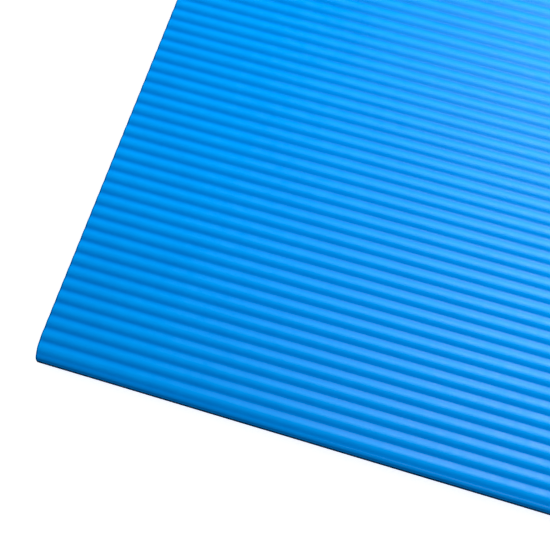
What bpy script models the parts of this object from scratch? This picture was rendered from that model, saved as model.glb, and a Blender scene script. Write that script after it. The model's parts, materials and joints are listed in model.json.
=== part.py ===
"""Folding incline wedge mat with a ribbed foam top.

Frame: metres, +Z up. X runs across the mat, along the ribs. Y runs uphill, from
the thin toe at -Y to the tall end at +Y. Left is -X and right is +X. The origin is
on the floor, under the middle of the fold. The low section folds up and over onto
the high section about a fabric hinge level with the tops of the ribs, and the two
make one block.

Lengths below are in millimetres and become metres in make() and body(). Places on
the incline are given as (along, above): along the slope from the fold line, and
square to the slope above it.
"""

import math
from collections import namedtuple

import bmesh
import bpy
from mathutils import Vector

for old in list(bpy.data.objects):
    bpy.data.objects.remove(old, do_unlink=True)

MM = 0.001

# ---- driving dimensions, mm -------------------------------------------------
WIDTH = 610.0            # across the mat, 24 in
RUN = 1219.0             # toe to tall end along the floor, 48 in
TALL = 356.0             # height of the tall end, 14 in
TOE = 10.0               # height of the toe, all layers together
GAP = 0.3                # clearance between pieces that touch in the real mat

PITCH = 8.0              # rib to rib
RIB_DEPTH = 1.05         # crest to groove
RIB_POINTS = (0.0, 0.2, 0.5, 0.8)  # shares of a pitch past a groove
RIB_MIN_STEP = 0.4       # no rib point is closer than this to a sheet's end
SHEET = 6.0              # ribbed sheet, crest to underside
CREST_BELOW_AXIS = 0.5   # the fold line runs this far above the crests
TOE_TO_GROOVE = 0.35     # the toe is cut this share of a pitch past a groove
CORNER_ACROSS, CORNER_ALONG = 3.6, 12.8  # rounding of the sheet's two toe corners
CORNER_POINTS = (0.04, 0.14, 0.3, 0.55, 0.8, 1.0)  # shares of CORNER_ALONG

SKIN = 1.5               # vinyl panels
UNDER = 1.2              # vinyl under the ribbed sheet, and the hinge web
UNDER_INSET = 0.5        # this vinyl stops short of the mat's sides
LOW_UNDER_INSET = 4.5    # and further short on the low top panel
HIGH_UNDER_INSET_END = 2.0   # it also stops short of the tall end
LOW_UNDER_INSET_TOE = 3.0    # and of the toe
FOLD_GAP = 12.0          # between the two fold faces
SHEET_TO_FOLD = 8.0      # the sheets stop this far from the fold line
WEB_REACH = 40.0         # the hinge web is sewn in this far under each sheet

LOW_CORE_TOE_H = 2.0     # height of the low foam core at its thin end
LOW_BASE_FROM_TOE = 5.0
LOW_SIDE_START_Z = 1.6   # the low side panels start where the wedge is this high,
LOW_SIDE_INSET = 4.0     # and this much further uphill

ZIP_HALF = 262.0         # half length of each zip opening
ZIP_OPEN = 12.0          # height of the zip opening
HIGH_ZIP_Z = 56.0
LOW_ZIP_Z = 46.0
TAPE = 1.0               # thickness
TAPE_OVERLAP = 8.0       # beyond the opening, at the ends and along each edge
CHAIN_W, CHAIN_T = 5.6, 2.6
CHAIN_END = 4.5          # end of the opening to the end of the chain
STOP_INSET = 2.2         # end of the opening to the middle of a stop
STOP_HALF_X, STOP_HALF_Z, STOP_T = 1.9, 3.6, 3.2

SLIDER_X = 250.0
SLIDER_HALF_W = 4.9
SLIDER_ROOF_HALF_W = 4.1
SLIDER_SKIRT = 2.2       # depth of the channel that straddles the chain
SLIDER_SHOULDER = 0.9    # channel roof to where the top edges slope in
SLIDER_ROOF = 1.5        # channel roof to the top of the slider
# (x from the middle of the slider, taper of its outer width)
SLIDER_STATIONS = ((-6.8, 0.78), (-4.6, 0.92), (0.0, 1.0), (6.0, 1.0), (6.8, 0.93))

# The crown's distances outwards are from the back panel's face.
CROWN_HALF_X, CROWN_FOOT, CROWN_TOP = 4.0, 2.0, 7.2
CROWN_HOLE_HALF_X, CROWN_HOLE_TOP = 2.5, 6.0
CROWN_HOLE_LIFT = 0.3    # slider top to the crown's opening
CROWN_HALF_Z = 1.5
PULL_AXIS_OUT = 4.6      # pull's swing line, outwards from the back panel
PULL_HALF_T = 0.7
PULL_CUT_HALF = 3.0      # half length of the window cutter
# (x, z) from the middle of the pull's crossbar
PULL_OUTLINE = (
    (-0.8, -3.6), (9.0, -3.6), (12.0, -4.4), (28.0, -4.4), (30.5, -2.6),
    (30.5, 2.6), (28.0, 4.4), (12.0, 4.4), (9.0, 3.6), (-0.8, 3.6),
)
PULL_WINDOW = ((0.8, -2.1), (6.6, -2.1), (6.6, 2.1), (0.8, 2.1))

HANDLE_Y = 280.0         # middle of each carry handle
HANDLE_Z = 212.0         # its swing line
HANDLE_SPAN = 140.0      # between the middles of its two sewn ends
HANDLE_DROP = 92.0
HANDLE_BEND_R = 44.0     # to the middle of the webbing
HANDLE_BEND_STEPS = 6    # per quarter turn
HANDLE_AXIS_OUT = 4.0    # swing line, outwards from the side panel
HANDLE_LOOP_OUT = 0.15   # loop's inner face, outwards from the swing line
HANDLE_LOOP_BELOW = 0.6  # swing line to the loop's upper ends
WEBBING_W, WEBBING_T = 25.0, 2.4
ANCHOR_H = 44.0
ANCHOR_BELOW = 1.0       # swing line to the top of each sewn end

TAB_ALONG = 447.0        # middle of each closing tab, along the slope
TAB_W = 60.0
TAB_L = 70.0
TAB_ROOT = -22.0         # its swing line, measured square to the slope
TAB_AXIS_OUT = 2.75      # and outwards from the side panel
TAB_ROOT_FROM, TAB_ROOT_TO = 1.0, 12.0  # sewn root, above the swing line
FLAP_T, HOOK_T, LOOP_T = 1.2, 1.6, 1.2
FLAP_OUT = 0.6           # flap's inner face, outwards from the side panel
FLAP_BELOW = 0.6         # swing line to the top of the flap
FLAP_CORNER = 8.0        # cut-back of the flap's lower corners
FLAP_CORNER_MID = 0.3    # share of it at the corner's middle point
HOOK_INSET = 5.0         # hook tape, in from the flap's sides
HOOK_FROM, HOOK_TO = 6.0, 34.0          # up from the flap's lower edge
LOOP_HALF_W = 28.0
LOOP_BOTTOM, LOOP_TOP = -42.0, -12.0    # square to the slope

VENT_R, VENT_BORE, VENT_FLANGE = 5.7, 4.5, 9.0  # radii of barrel, bore and flange
VENT_FLANGE_T = 1.2
VENT_BEVEL_R, VENT_BEVEL_T = 0.8, 0.5
VENT_INWARD = 0.2        # barrel past the panel's inner face
VENT_SEGMENTS = 28
VENT_CUT_DEPTH = 6.0     # half length of the panel hole's cutter
WELL_CLEAR = 2.0         # foam relief around the barrel
WELL_DEPTH = 10.0
HIGH_VENTS = (("a", (100.0, 70.0)), ("b", (520.0, 70.0)))  # letter, (y, z)
LOW_VENT = (-100.0, 60.0)                                 # (y, z)

# ---- derived ----------------------------------------------------------------
HALF = WIDTH / 2
BACK = RUN / 2
SLOPE = math.atan((TALL - TOE) / RUN)
COS, SIN = math.cos(SLOPE), math.sin(SLOPE)
END_ALONG = RUN / 2 / COS
AXIS_Z = (TALL + TOE) / 2 + CREST_BELOW_AXIS * COS
CREST = -CREST_BELOW_AXIS
SHEET_UNDER = CREST - SHEET
UNDER_TOP = SHEET_UNDER - GAP
UNDER_BOTTOM = UNDER_TOP - UNDER
PANEL_TOP = UNDER_BOTTOM - GAP
INNER = HALF - SKIN - GAP
FOLD_OUT = FOLD_GAP / 2
FOLD_IN = FOLD_OUT + SKIN + GAP
BACK_IN = BACK - SKIN - GAP
CORE_BOTTOM = SKIN + GAP
CHANNEL_ROOF = -SKIN + CHAIN_T + GAP     # outwards from the panel's face
SLIDER_TOP = CHANNEL_ROOF + SLIDER_ROOF

SIDES = (("left", -1), ("right", 1))
HIGH, LOW = "high_section", "low_section"


def slope(along, above):
    """(y, z) of a point on the incline."""
    return (along * COS - above * SIN, AXIS_Z + along * SIN + above * COS)


def panel_top_z(y):
    """Height of the tops of the upright panels and cores, at y."""
    return AXIS_Z + y * math.tan(SLOPE) + PANEL_TOP / COS


def y_at_panel_top(z):
    """y at which the tops of the upright panels and cores are at height z."""
    return (z - AXIS_Z - PANEL_TOP / COS) / math.tan(SLOPE)


def outward(sign, start, thickness):
    """(low x, high x) of a layer that starts this far outwards from a side face."""
    inside = HALF + start
    return sorted((sign * inside, sign * (inside + thickness)))


# ---- materials --------------------------------------------------------------
Finish = namedtuple("Finish", "name colour roughness metallic", defaults=(0.0,))

RIBBED = Finish("ribbed_foam", colour=(0.010, 0.235, 0.760), roughness=0.50)
VINYL = Finish("vinyl_blue", colour=(0.010, 0.150, 0.520), roughness=0.42)
BASE = Finish("base_vinyl", colour=(0.020, 0.022, 0.026), roughness=0.75)
FOAM = Finish("core_foam", colour=(0.700, 0.700, 0.660), roughness=0.95)
WEBBING = Finish("webbing", colour=(0.018, 0.018, 0.022), roughness=0.80)
ZIP_TAPE = Finish("zip_tape", colour=(0.010, 0.055, 0.200), roughness=0.85)
TEETH = Finish("zip_teeth", colour=(0.012, 0.060, 0.210), roughness=0.40)
METAL = Finish("nickel", colour=(0.620, 0.610, 0.590), roughness=0.28, metallic=1.0)
FASTENER = Finish("hook_and_loop", colour=(0.014, 0.014, 0.017), roughness=0.90)


def material(piece, finish):
    """Each piece has its own copy of its finish."""
    made = bpy.data.materials.new(piece + "_" + finish.name)
    made.use_nodes = True
    inputs = made.node_tree.nodes["Principled BSDF"].inputs
    inputs["Base Color"].default_value = (*finish.colour, 1.0)
    inputs["Roughness"].default_value = finish.roughness
    inputs["Metallic"].default_value = finish.metallic
    made.diffuse_color = (*finish.colour, 1.0)
    return made


# ---- bodies and objects -----------------------------------------------------
BODIES = {}  # body name: (its empty, its pivot in mm)


def body(name, pivot, parent=None):
    """Adds a moving body: an empty on its joint's axis."""
    empty = bpy.data.objects.new("pivot_" + name, None)
    empty.empty_display_size = 0.02
    bpy.context.scene.collection.objects.link(empty)
    parent_pivot = Vector((0, 0, 0))
    if parent:
        empty.parent, parent_pivot = BODIES[parent]
    empty.location = (Vector(pivot) - parent_pivot) * MM
    BODIES[name] = (empty, Vector(pivot))


def make(name, shape, finish, on, smooth=False):
    """Turns a bmesh, drawn in mm in the mat's frame, into a named object on a body."""
    empty, pivot = BODIES[on]
    bmesh.ops.remove_doubles(shape, verts=shape.verts, dist=1e-4)
    bmesh.ops.recalc_face_normals(shape, faces=shape.faces)
    for vert in shape.verts:
        vert.co = (vert.co - pivot) * MM
    mesh = bpy.data.meshes.new(name)
    shape.to_mesh(mesh)
    shape.free()
    mesh.materials.append(material(name, finish))
    if smooth:
        mesh.shade_smooth()
        mesh.set_sharp_from_angle(angle=math.radians(35))
    piece = bpy.data.objects.new(name, mesh)
    bpy.context.scene.collection.objects.link(piece)
    piece.parent = empty
    return piece


def boolean(target, helper, modifier_name, operation):
    """Combines target with a helper object, which is hidden from renders."""
    helper.hide_render = True
    helper.display_type = "WIRE"
    modifier = target.modifiers.new(modifier_name, "BOOLEAN")
    modifier.operation = operation
    modifier.solver = "EXACT"
    modifier.object = helper


def cut(target, shape, name):
    """Cuts a hole in target. Every cutter sits on the high section."""
    boolean(target, make(name, shape, BASE, HIGH), "hole_" + name, "DIFFERENCE")


# ---- shapes -----------------------------------------------------------------
def place(point, axis, level):
    """The 3D point at a level along axis, from its other two coordinates."""
    first, second = point
    if axis == "X":
        return (level, first, second)
    if axis == "Y":
        return (first, level, second)
    return (first, second, level)


def prism(points, axis, start, end):
    """A flat outline, in the two axes other than axis, pushed from start to end."""
    shape = bmesh.new()
    face = shape.faces.new([shape.verts.new(place(p, axis, start)) for p in points])
    grown = bmesh.ops.extrude_face_region(shape, geom=[face])
    step = Vector(place((0, 0), axis, end)) - Vector(place((0, 0), axis, start))
    moved = [g for g in grown["geom"] if isinstance(g, bmesh.types.BMVert)]
    bmesh.ops.translate(shape, verts=moved, vec=step)
    return shape


def corners(low_u, high_u, low_v, high_v):
    return [(low_u, low_v), (high_u, low_v), (high_u, high_v), (low_u, high_v)]


def block(x0, x1, y0, y1, z0, z1):
    return prism(corners(x0, x1, y0, y1), "Z", z0, z1)


def wedge(x0, x1, y0, y1, z0=0):
    """An upright piece with a flat bottom and its top cut to the slope."""
    outline = [(y0, z0), (y1, z0), (y1, panel_top_z(y1)), (y0, panel_top_z(y0))]
    return prism(outline, "X", x0, x1)


def slab(along0, along1, above0, above1, x0, x1):
    """A box set square to the slope."""
    outline = [slope(*p) for p in corners(along0, along1, above0, above1)]
    return prism(outline, "X", x0, x1)


def framed(outer, inner, axis, start, end):
    """A rectangle with a rectangular window, pushed from start to end."""
    shape = bmesh.new()

    def ring(limits, level):
        return [shape.verts.new(place(p, axis, level)) for p in corners(*limits)]

    outer0, inner0 = ring(outer, start), ring(inner, start)
    outer1, inner1 = ring(outer, end), ring(inner, end)
    for i in range(4):
        j = (i + 1) % 4
        shape.faces.new((outer0[i], outer0[j], inner0[j], inner0[i]))
        shape.faces.new((outer1[i], inner1[i], inner1[j], outer1[j]))
        shape.faces.new((outer0[i], outer1[i], outer1[j], outer0[j]))
        shape.faces.new((inner0[i], inner0[j], inner1[j], inner1[i]))
    return shape


def loft(sections, closed=False):
    """Skins a run of matching sections: capped, or closed back onto the first."""
    shape = bmesh.new()
    rows = [[shape.verts.new(p) for p in section] for section in sections]
    following = rows[1:] + rows[:1] if closed else rows[1:]
    count = len(rows[0])
    for row, after in zip(rows, following):
        for i in range(count):
            j = (i + 1) % count
            shape.faces.new((row[i], row[j], after[j], after[i]))
    if not closed:
        shape.faces.new(rows[0])
        shape.faces.new(list(reversed(rows[-1])))
    return shape


def circle(centre, radius):
    """Points around centre; both are (y, z)."""
    angles = [2 * math.pi * k / VENT_SEGMENTS for k in range(VENT_SEGMENTS)]
    return [(centre[0] + radius * math.cos(a), centre[1] + radius * math.sin(a))
            for a in angles]


# ---- ribbed sheets ----------------------------------------------------------
def rib_height(along):
    """Height of the ribbed surface: round ribs that meet in narrow grooves."""
    share = ((along + END_ALONG) / PITCH - TOE_TO_GROOVE) % 1.0
    return CREST - RIB_DEPTH * (2 * share - 1) ** 2


def rib_stations(start, end):
    """Places along the slope that follow each rib with four flats."""
    found = {start, end}
    first = math.floor((start + END_ALONG) / PITCH) - 1
    last = math.ceil((end + END_ALONG) / PITCH)
    for k in range(first, last + 1):
        for share in RIB_POINTS:
            along = (k + TOE_TO_GROOVE + share) * PITCH - END_ALONG
            if start + RIB_MIN_STEP < along < end - RIB_MIN_STEP:
                found.add(along)
    return found


def corner_half_width(from_toe):
    """Half the low sheet's width, rounded off at the toe corners."""
    if from_toe >= CORNER_ALONG:
        return HALF
    remaining = 1 - from_toe / CORNER_ALONG
    return HALF - CORNER_ACROSS * (1 - math.sqrt(max(0.0, 1 - remaining ** 2)))


def ribbed_sheet(start, end, rounded):
    stations = rib_stations(start, end)
    if rounded:
        stations |= {start + CORNER_ALONG * share for share in CORNER_POINTS}
    sections = []
    for along in sorted(stations):
        half = corner_half_width(along - start) if rounded else HALF
        top = slope(along, rib_height(along))
        under = slope(along, SHEET_UNDER)
        sections.append([(-half, *under), (half, *under), (half, *top), (-half, *top)])
    return loft(sections)


# ---- vents ------------------------------------------------------------------
def side_hole(at, sign, radius, depth):
    return prism(circle(at, radius), "X", sign * HALF - depth, sign * HALF + depth)


def vent(name, at, sign, on):
    """A press-fit eyelet: a flange outside the panel and a barrel through it."""
    flange = GAP + VENT_FLANGE_T
    barrel = -SKIN - VENT_INWARD
    # (distance outwards from the side face, radius)
    profile = [
        (barrel, VENT_BORE), (flange, VENT_BORE),
        (flange, VENT_FLANGE - VENT_BEVEL_R), (flange - VENT_BEVEL_T, VENT_FLANGE),
        (GAP, VENT_FLANGE), (GAP, VENT_R), (barrel, VENT_R),
    ]
    rings = [[(sign * (HALF + out), *p) for p in circle(at, radius)]
             for out, radius in profile]
    # Regrouped from one circle per profile point to one profile per turn step.
    make(name, loft(list(zip(*rings)), closed=True), METAL, on, smooth=True)


def fit_vent(panel, core, at, sign, on, vent_name, cut_name):
    """A vent, its hole in the panel, and a well in the foam so the section can breathe."""
    cut(panel, side_hole(at, sign, VENT_R + GAP, VENT_CUT_DEPTH), "cut_" + cut_name)
    cut(core, side_hole(at, sign, VENT_R + WELL_CLEAR, WELL_DEPTH), "cut_core_" + cut_name)
    vent(vent_name, at, sign, on)


# ---- carry handles and closing tabs -----------------------------------------
def handle_ends(side, sign):
    """The two sewn ends that lie against the side panel."""
    x0, x1 = outward(sign, GAP, WEBBING_T)
    top = HANDLE_Z - ANCHOR_BELOW
    for end, y in (("front", HANDLE_Y - HANDLE_SPAN / 2), ("rear", HANDLE_Y + HANDLE_SPAN / 2)):
        make(side + "_handle_" + end + "_end", block(
            x0, x1, y - WEBBING_W / 2, y + WEBBING_W / 2, top - ANCHOR_H, top), WEBBING, HIGH)


def handle_loop(side, sign):
    """A webbing loop that hangs down over the sewn ends."""
    x0, x1 = outward(sign, HANDLE_AXIS_OUT + HANDLE_LOOP_OUT, WEBBING_T)
    top_z = HANDLE_Z - HANDLE_LOOP_BELOW
    bend_z = HANDLE_Z - (HANDLE_DROP - HANDLE_BEND_R - WEBBING_W / 2)
    bend_offset = HANDLE_SPAN / 2 - HANDLE_BEND_R
    # (y, z, angle turned) of the middle of the webbing
    stations = [(HANDLE_Y - HANDLE_SPAN / 2, top_z, 0.0)]
    for centre_y, first in ((HANDLE_Y - bend_offset, 0),
                            (HANDLE_Y + bend_offset, HANDLE_BEND_STEPS)):
        for k in range(first, first + HANDLE_BEND_STEPS + 1):
            angle = math.pi / 2 * k / HANDLE_BEND_STEPS
            stations.append((centre_y - HANDLE_BEND_R * math.cos(angle),
                             bend_z - HANDLE_BEND_R * math.sin(angle), angle))
    stations.append((HANDLE_Y + HANDLE_SPAN / 2, top_z, math.pi))

    sections = []
    for y, z, angle in stations:
        across_y = WEBBING_W / 2 * math.cos(angle)
        across_z = WEBBING_W / 2 * math.sin(angle)
        sections.append([
            (x0, y - across_y, z - across_z), (x0, y + across_y, z + across_z),
            (x1, y + across_y, z + across_z), (x1, y - across_y, z - across_z)])
    make(side + "_handle_loop", loft(sections), WEBBING, side + "_handle")


def closing_tab(side, sign):
    """A sewn root above the swing line, a flap that hangs from it, hook tape on the flap."""
    start, end = TAB_ALONG - TAB_W / 2, TAB_ALONG + TAB_W / 2
    tip = TAB_ROOT - TAB_L
    make(side + "_tab_root", slab(
        start, end, TAB_ROOT + TAB_ROOT_FROM, TAB_ROOT + TAB_ROOT_TO,
        *outward(sign, GAP, FLAP_T)), VINYL, HIGH)

    corner, middle = FLAP_CORNER, FLAP_CORNER * FLAP_CORNER_MID
    flap = [
        (start, TAB_ROOT - FLAP_BELOW), (start, tip + corner),
        (start + middle, tip + middle), (start + corner, tip),
        (end - corner, tip), (end - middle, tip + middle),
        (end, tip + corner), (end, TAB_ROOT - FLAP_BELOW),
    ]
    make(side + "_tab_flap", prism(
        [slope(*p) for p in flap], "X", *outward(sign, FLAP_OUT, FLAP_T)), VINYL, side + "_tab")
    make(side + "_tab_hook_tape", slab(
        start + HOOK_INSET, end - HOOK_INSET, tip + HOOK_FROM, tip + HOOK_TO,
        *outward(sign, FLAP_OUT + FLAP_T + GAP, HOOK_T)), FASTENER, side + "_tab")


def loop_patch(side, sign):
    """The patch on the low section that a tab closes onto."""
    make("low_" + side + "_loop_patch", slab(
        -TAB_ALONG - LOOP_HALF_W, -TAB_ALONG + LOOP_HALF_W, LOOP_BOTTOM, LOOP_TOP,
        *outward(sign, GAP, LOOP_T)), FASTENER, LOW)


# ---- zips: each in a panel whose outside is at y_face and faces +Y -----------
def zipped_panel(name, on, y_face, zip_z):
    """An upright vinyl panel across the mat, with a zip opening."""
    make(name, framed(
        (-HALF, HALF, 0, panel_top_z(y_face - SKIN)),
        (-ZIP_HALF, ZIP_HALF, zip_z - ZIP_OPEN / 2, zip_z + ZIP_OPEN / 2),
        "Y", y_face - SKIN, y_face), VINYL, on)


def zip_track(prefix, on, y_face, z):
    """Tape behind the panel, chain in the opening, and a stop at each end."""
    floor = y_face - SKIN
    tape_half_x = ZIP_HALF + TAPE_OVERLAP
    tape_half_z = ZIP_OPEN / 2 + TAPE_OVERLAP
    make(prefix + "_zip_tape", block(
        -tape_half_x, tape_half_x, floor - GAP - TAPE, floor - GAP,
        z - tape_half_z, z + tape_half_z), ZIP_TAPE, on)
    make(prefix + "_zip_chain", block(
        -ZIP_HALF + CHAIN_END, ZIP_HALF - CHAIN_END, floor, floor + CHAIN_T,
        z - CHAIN_W / 2, z + CHAIN_W / 2), TEETH, on)
    for end, x in (("open", -ZIP_HALF + STOP_INSET), ("closed", ZIP_HALF - STOP_INSET)):
        make(prefix + "_zip_stop_" + end, block(
            x - STOP_HALF_X, x + STOP_HALF_X, floor, floor + STOP_T,
            z - STOP_HALF_Z, z + STOP_HALF_Z), METAL, on)


def zip_slider(name, y_face, z):
    """A saddle over the chain, narrowing to a nose at its -X end."""
    channel = CHAIN_W / 2 + GAP
    skirt = CHANNEL_ROOF - SLIDER_SKIRT
    shoulder = CHANNEL_ROOF + SLIDER_SHOULDER
    # (across in z, outwards from the panel's face)
    outline = [
        (-SLIDER_HALF_W, skirt), (-channel, skirt), (-channel, CHANNEL_ROOF),
        (channel, CHANNEL_ROOF), (channel, skirt), (SLIDER_HALF_W, skirt),
        (SLIDER_HALF_W, shoulder), (SLIDER_ROOF_HALF_W, SLIDER_TOP),
        (-SLIDER_ROOF_HALF_W, SLIDER_TOP), (-SLIDER_HALF_W, shoulder),
    ]
    sections = []
    for x, taper in SLIDER_STATIONS:
        # The channel keeps its width; only the outside tapers.
        sections.append([
            (SLIDER_X + x, y_face + out,
             z + (across * taper if abs(across) > channel else across))
            for across, out in outline])
    return make(name, loft(sections), METAL, name)


def slider_crown(slider):
    """An arch over the pull's crossbar, joined to the slider."""
    crown = make("crown_shape", framed(
        (SLIDER_X - CROWN_HALF_X, SLIDER_X + CROWN_HALF_X, BACK + CROWN_FOOT, BACK + CROWN_TOP),
        (SLIDER_X - CROWN_HOLE_HALF_X, SLIDER_X + CROWN_HOLE_HALF_X,
         BACK + SLIDER_TOP + CROWN_HOLE_LIFT, BACK + CROWN_HOLE_TOP),
        "Z", HIGH_ZIP_Z - CROWN_HALF_Z, HIGH_ZIP_Z + CROWN_HALF_Z), METAL, "high_zip_slider")
    boolean(slider, crown, "crown", "UNION")


def zip_pull():
    """A crossbar through the crown, a window that clears the crown, and a finger tab."""
    def plate(points, half_thickness):
        return prism([(SLIDER_X + x, HIGH_ZIP_Z + z) for x, z in points], "Y",
                     BACK + PULL_AXIS_OUT - half_thickness, BACK + PULL_AXIS_OUT + half_thickness)

    pull = make("high_zip_pull", plate(PULL_OUTLINE, PULL_HALF_T), METAL, "high_zip_pull")
    cut(pull, plate(PULL_WINDOW, PULL_CUT_HALF), "cut_pull_window")


# ---- sections ---------------------------------------------------------------
def add_bodies():
    tab_y, tab_z = slope(TAB_ALONG, TAB_ROOT)
    body(HIGH, (0, 0, 0))
    body(LOW, (0, 0, AXIS_Z), HIGH)
    for side, sign in SIDES:
        body(side + "_handle", (sign * (HALF + HANDLE_AXIS_OUT), HANDLE_Y, HANDLE_Z), HIGH)
        body(side + "_tab", (sign * (HALF + TAB_AXIS_OUT), tab_y, tab_z), HIGH)
    body("high_zip_slider", (SLIDER_X, BACK, HIGH_ZIP_Z), HIGH)
    body("high_zip_pull", (SLIDER_X, BACK + PULL_AXIS_OUT, HIGH_ZIP_Z), "high_zip_slider")
    body("low_zip_slider", (SLIDER_X, -FOLD_OUT, LOW_ZIP_Z), LOW)


def under_layer(name, start, end, on, inset=UNDER_INSET):
    """Vinyl lying under a ribbed sheet."""
    half = HALF - inset
    make(name, slab(start, end, UNDER_BOTTOM, UNDER_TOP, -half, half), VINYL, on)


def high_section():
    make("high_ribbed_sheet", ribbed_sheet(SHEET_TO_FOLD, END_ALONG, False), RIBBED, HIGH)
    under_layer("high_top_panel", WEB_REACH + GAP, END_ALONG - HIGH_UNDER_INSET_END, HIGH)
    under_layer("hinge_web_high", GAP / 2, WEB_REACH, HIGH)
    core = make("high_foam_core", wedge(
        -INNER, INNER, FOLD_IN, BACK_IN - TAPE - GAP, CORE_BOTTOM), FOAM, HIGH)
    make("high_base_panel", block(-INNER, INNER, FOLD_IN, BACK_IN, 0, SKIN), BASE, HIGH)
    make("high_fold_panel", wedge(-HALF, HALF, FOLD_OUT, FOLD_OUT + SKIN), VINYL, HIGH)
    zipped_panel("high_back_panel", HIGH, BACK, HIGH_ZIP_Z)
    for side, sign in SIDES:
        panel = make("high_" + side + "_panel", wedge(
            *outward(sign, -SKIN, SKIN), FOLD_IN, BACK_IN), VINYL, HIGH)
        for letter, at in HIGH_VENTS:
            fit_vent(panel, core, at, sign, HIGH,
                     "high_" + side + "_vent_" + letter, "high_" + side + letter)
        handle_ends(side, sign)
        handle_loop(side, sign)
        closing_tab(side, sign)
    zip_track("high", HIGH, BACK, HIGH_ZIP_Z)
    slider_crown(zip_slider("high_zip_slider", BACK, HIGH_ZIP_Z))
    zip_pull()


def low_section():
    make("low_ribbed_sheet", ribbed_sheet(-END_ALONG, -SHEET_TO_FOLD, True), RIBBED, LOW)
    under_layer("low_top_panel", -END_ALONG + LOW_UNDER_INSET_TOE, -WEB_REACH - GAP, LOW,
                inset=LOW_UNDER_INSET)
    under_layer("hinge_web_low", -WEB_REACH, -GAP / 2, LOW)
    core = make("low_foam_core", wedge(
        -INNER, INNER, y_at_panel_top(CORE_BOTTOM + LOW_CORE_TOE_H),
        -(FOLD_IN + TAPE + GAP), CORE_BOTTOM), FOAM, LOW)
    make("low_base_panel", block(
        -INNER, INNER, -RUN / 2 + LOW_BASE_FROM_TOE, -FOLD_IN, 0, SKIN), BASE, LOW)
    zipped_panel("low_fold_panel", LOW, -FOLD_OUT, LOW_ZIP_Z)
    toe_y = y_at_panel_top(LOW_SIDE_START_Z) + LOW_SIDE_INSET
    for side, sign in SIDES:
        panel = make("low_" + side + "_panel", wedge(
            *outward(sign, -SKIN, SKIN), toe_y, -FOLD_IN), VINYL, LOW)
        fit_vent(panel, core, LOW_VENT, sign, LOW, "low_" + side + "_vent", "low_" + side)
        loop_patch(side, sign)
    zip_track("low", LOW, -FOLD_OUT, LOW_ZIP_Z)
    zip_slider("low_zip_slider", -FOLD_OUT, LOW_ZIP_Z)


add_bodies()
high_section()
low_section()
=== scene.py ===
"""A folding incline wedge mat, opened out into one ramp on the floor.

Metres, +Z up, +Y uphill, +X along the ribs. The fold line is at y = 0: the low section
runs down to the thin toe at -Y, and the high section up to the tall back at +Y.
"""

import json
import math
from functools import cached_property

import bmesh
import bpy
import numpy as np
from mathutils import Matrix, Vector


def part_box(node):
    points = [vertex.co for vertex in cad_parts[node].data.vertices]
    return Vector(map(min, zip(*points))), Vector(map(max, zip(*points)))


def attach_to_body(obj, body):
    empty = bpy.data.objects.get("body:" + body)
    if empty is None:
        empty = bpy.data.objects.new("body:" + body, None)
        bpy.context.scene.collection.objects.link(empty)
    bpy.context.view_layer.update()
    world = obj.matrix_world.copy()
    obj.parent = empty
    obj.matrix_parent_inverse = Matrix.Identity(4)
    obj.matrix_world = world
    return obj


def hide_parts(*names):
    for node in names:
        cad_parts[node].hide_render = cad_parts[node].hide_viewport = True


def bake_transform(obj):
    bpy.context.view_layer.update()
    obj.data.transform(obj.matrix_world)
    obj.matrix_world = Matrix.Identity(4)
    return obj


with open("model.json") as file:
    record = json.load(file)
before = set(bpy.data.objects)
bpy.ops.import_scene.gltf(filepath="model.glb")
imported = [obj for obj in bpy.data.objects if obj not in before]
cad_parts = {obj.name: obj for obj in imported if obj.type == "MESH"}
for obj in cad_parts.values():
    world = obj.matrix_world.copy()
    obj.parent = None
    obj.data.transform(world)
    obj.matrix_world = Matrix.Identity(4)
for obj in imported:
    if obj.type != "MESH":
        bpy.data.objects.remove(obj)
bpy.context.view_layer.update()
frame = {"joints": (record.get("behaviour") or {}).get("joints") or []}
JOINTS = {joint["name"]: joint for joint in frame["joints"]}
MM = 0.001
SIDES = (("left", -1), ("right", 1))

# ---- shared dimensions -------------------------------------------------------
FOLD_Z = JOINTS["fold"]["pos_m"][2]
HALF_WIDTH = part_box("high_ribbed_sheet")[1].x
TALL_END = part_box("high_back_panel")[1].y
uphill = Vector(JOINTS["left_tab_swing"]["axis"]).normalized()
COS, SIN = uphill.y, uphill.z
SLOPE_END = TALL_END / COS  # from the fold line to either end, along the slope
CREST = -0.5 * MM  # rib tops, measured square to the slope
TAB_ALONG = 447 * MM  # middle of a tab along the slope


def on_slope(along, above):
    """(y, z) of a point along the slope from the fold line, and above it."""
    return along * COS - above * SIN, FOLD_Z + along * SIN + above * COS


def height_at(y, above):
    return FOLD_Z + y * SIN / COS + above / COS


# ---- material helpers --------------------------------------------------------
def feed(tree, socket, value):
    """Sets a socket to a number or a colour, or links another node's output to it."""
    if isinstance(value, (int, float)):
        socket.default_value = value
    elif isinstance(value, tuple):
        socket.default_value = (*value, 1.0)
    else:
        tree.links.new(value, socket)


def math_node(tree, operation, *operands, clamp=False):
    node = tree.nodes.new("ShaderNodeMath")
    node.operation = operation
    node.use_clamp = clamp
    for socket, value in zip(node.inputs, operands):
        feed(tree, socket, value)
    return node.outputs[0]


def shade(colour, gain, lift=0.0):
    return tuple(channel * gain + lift for channel in colour)


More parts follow.
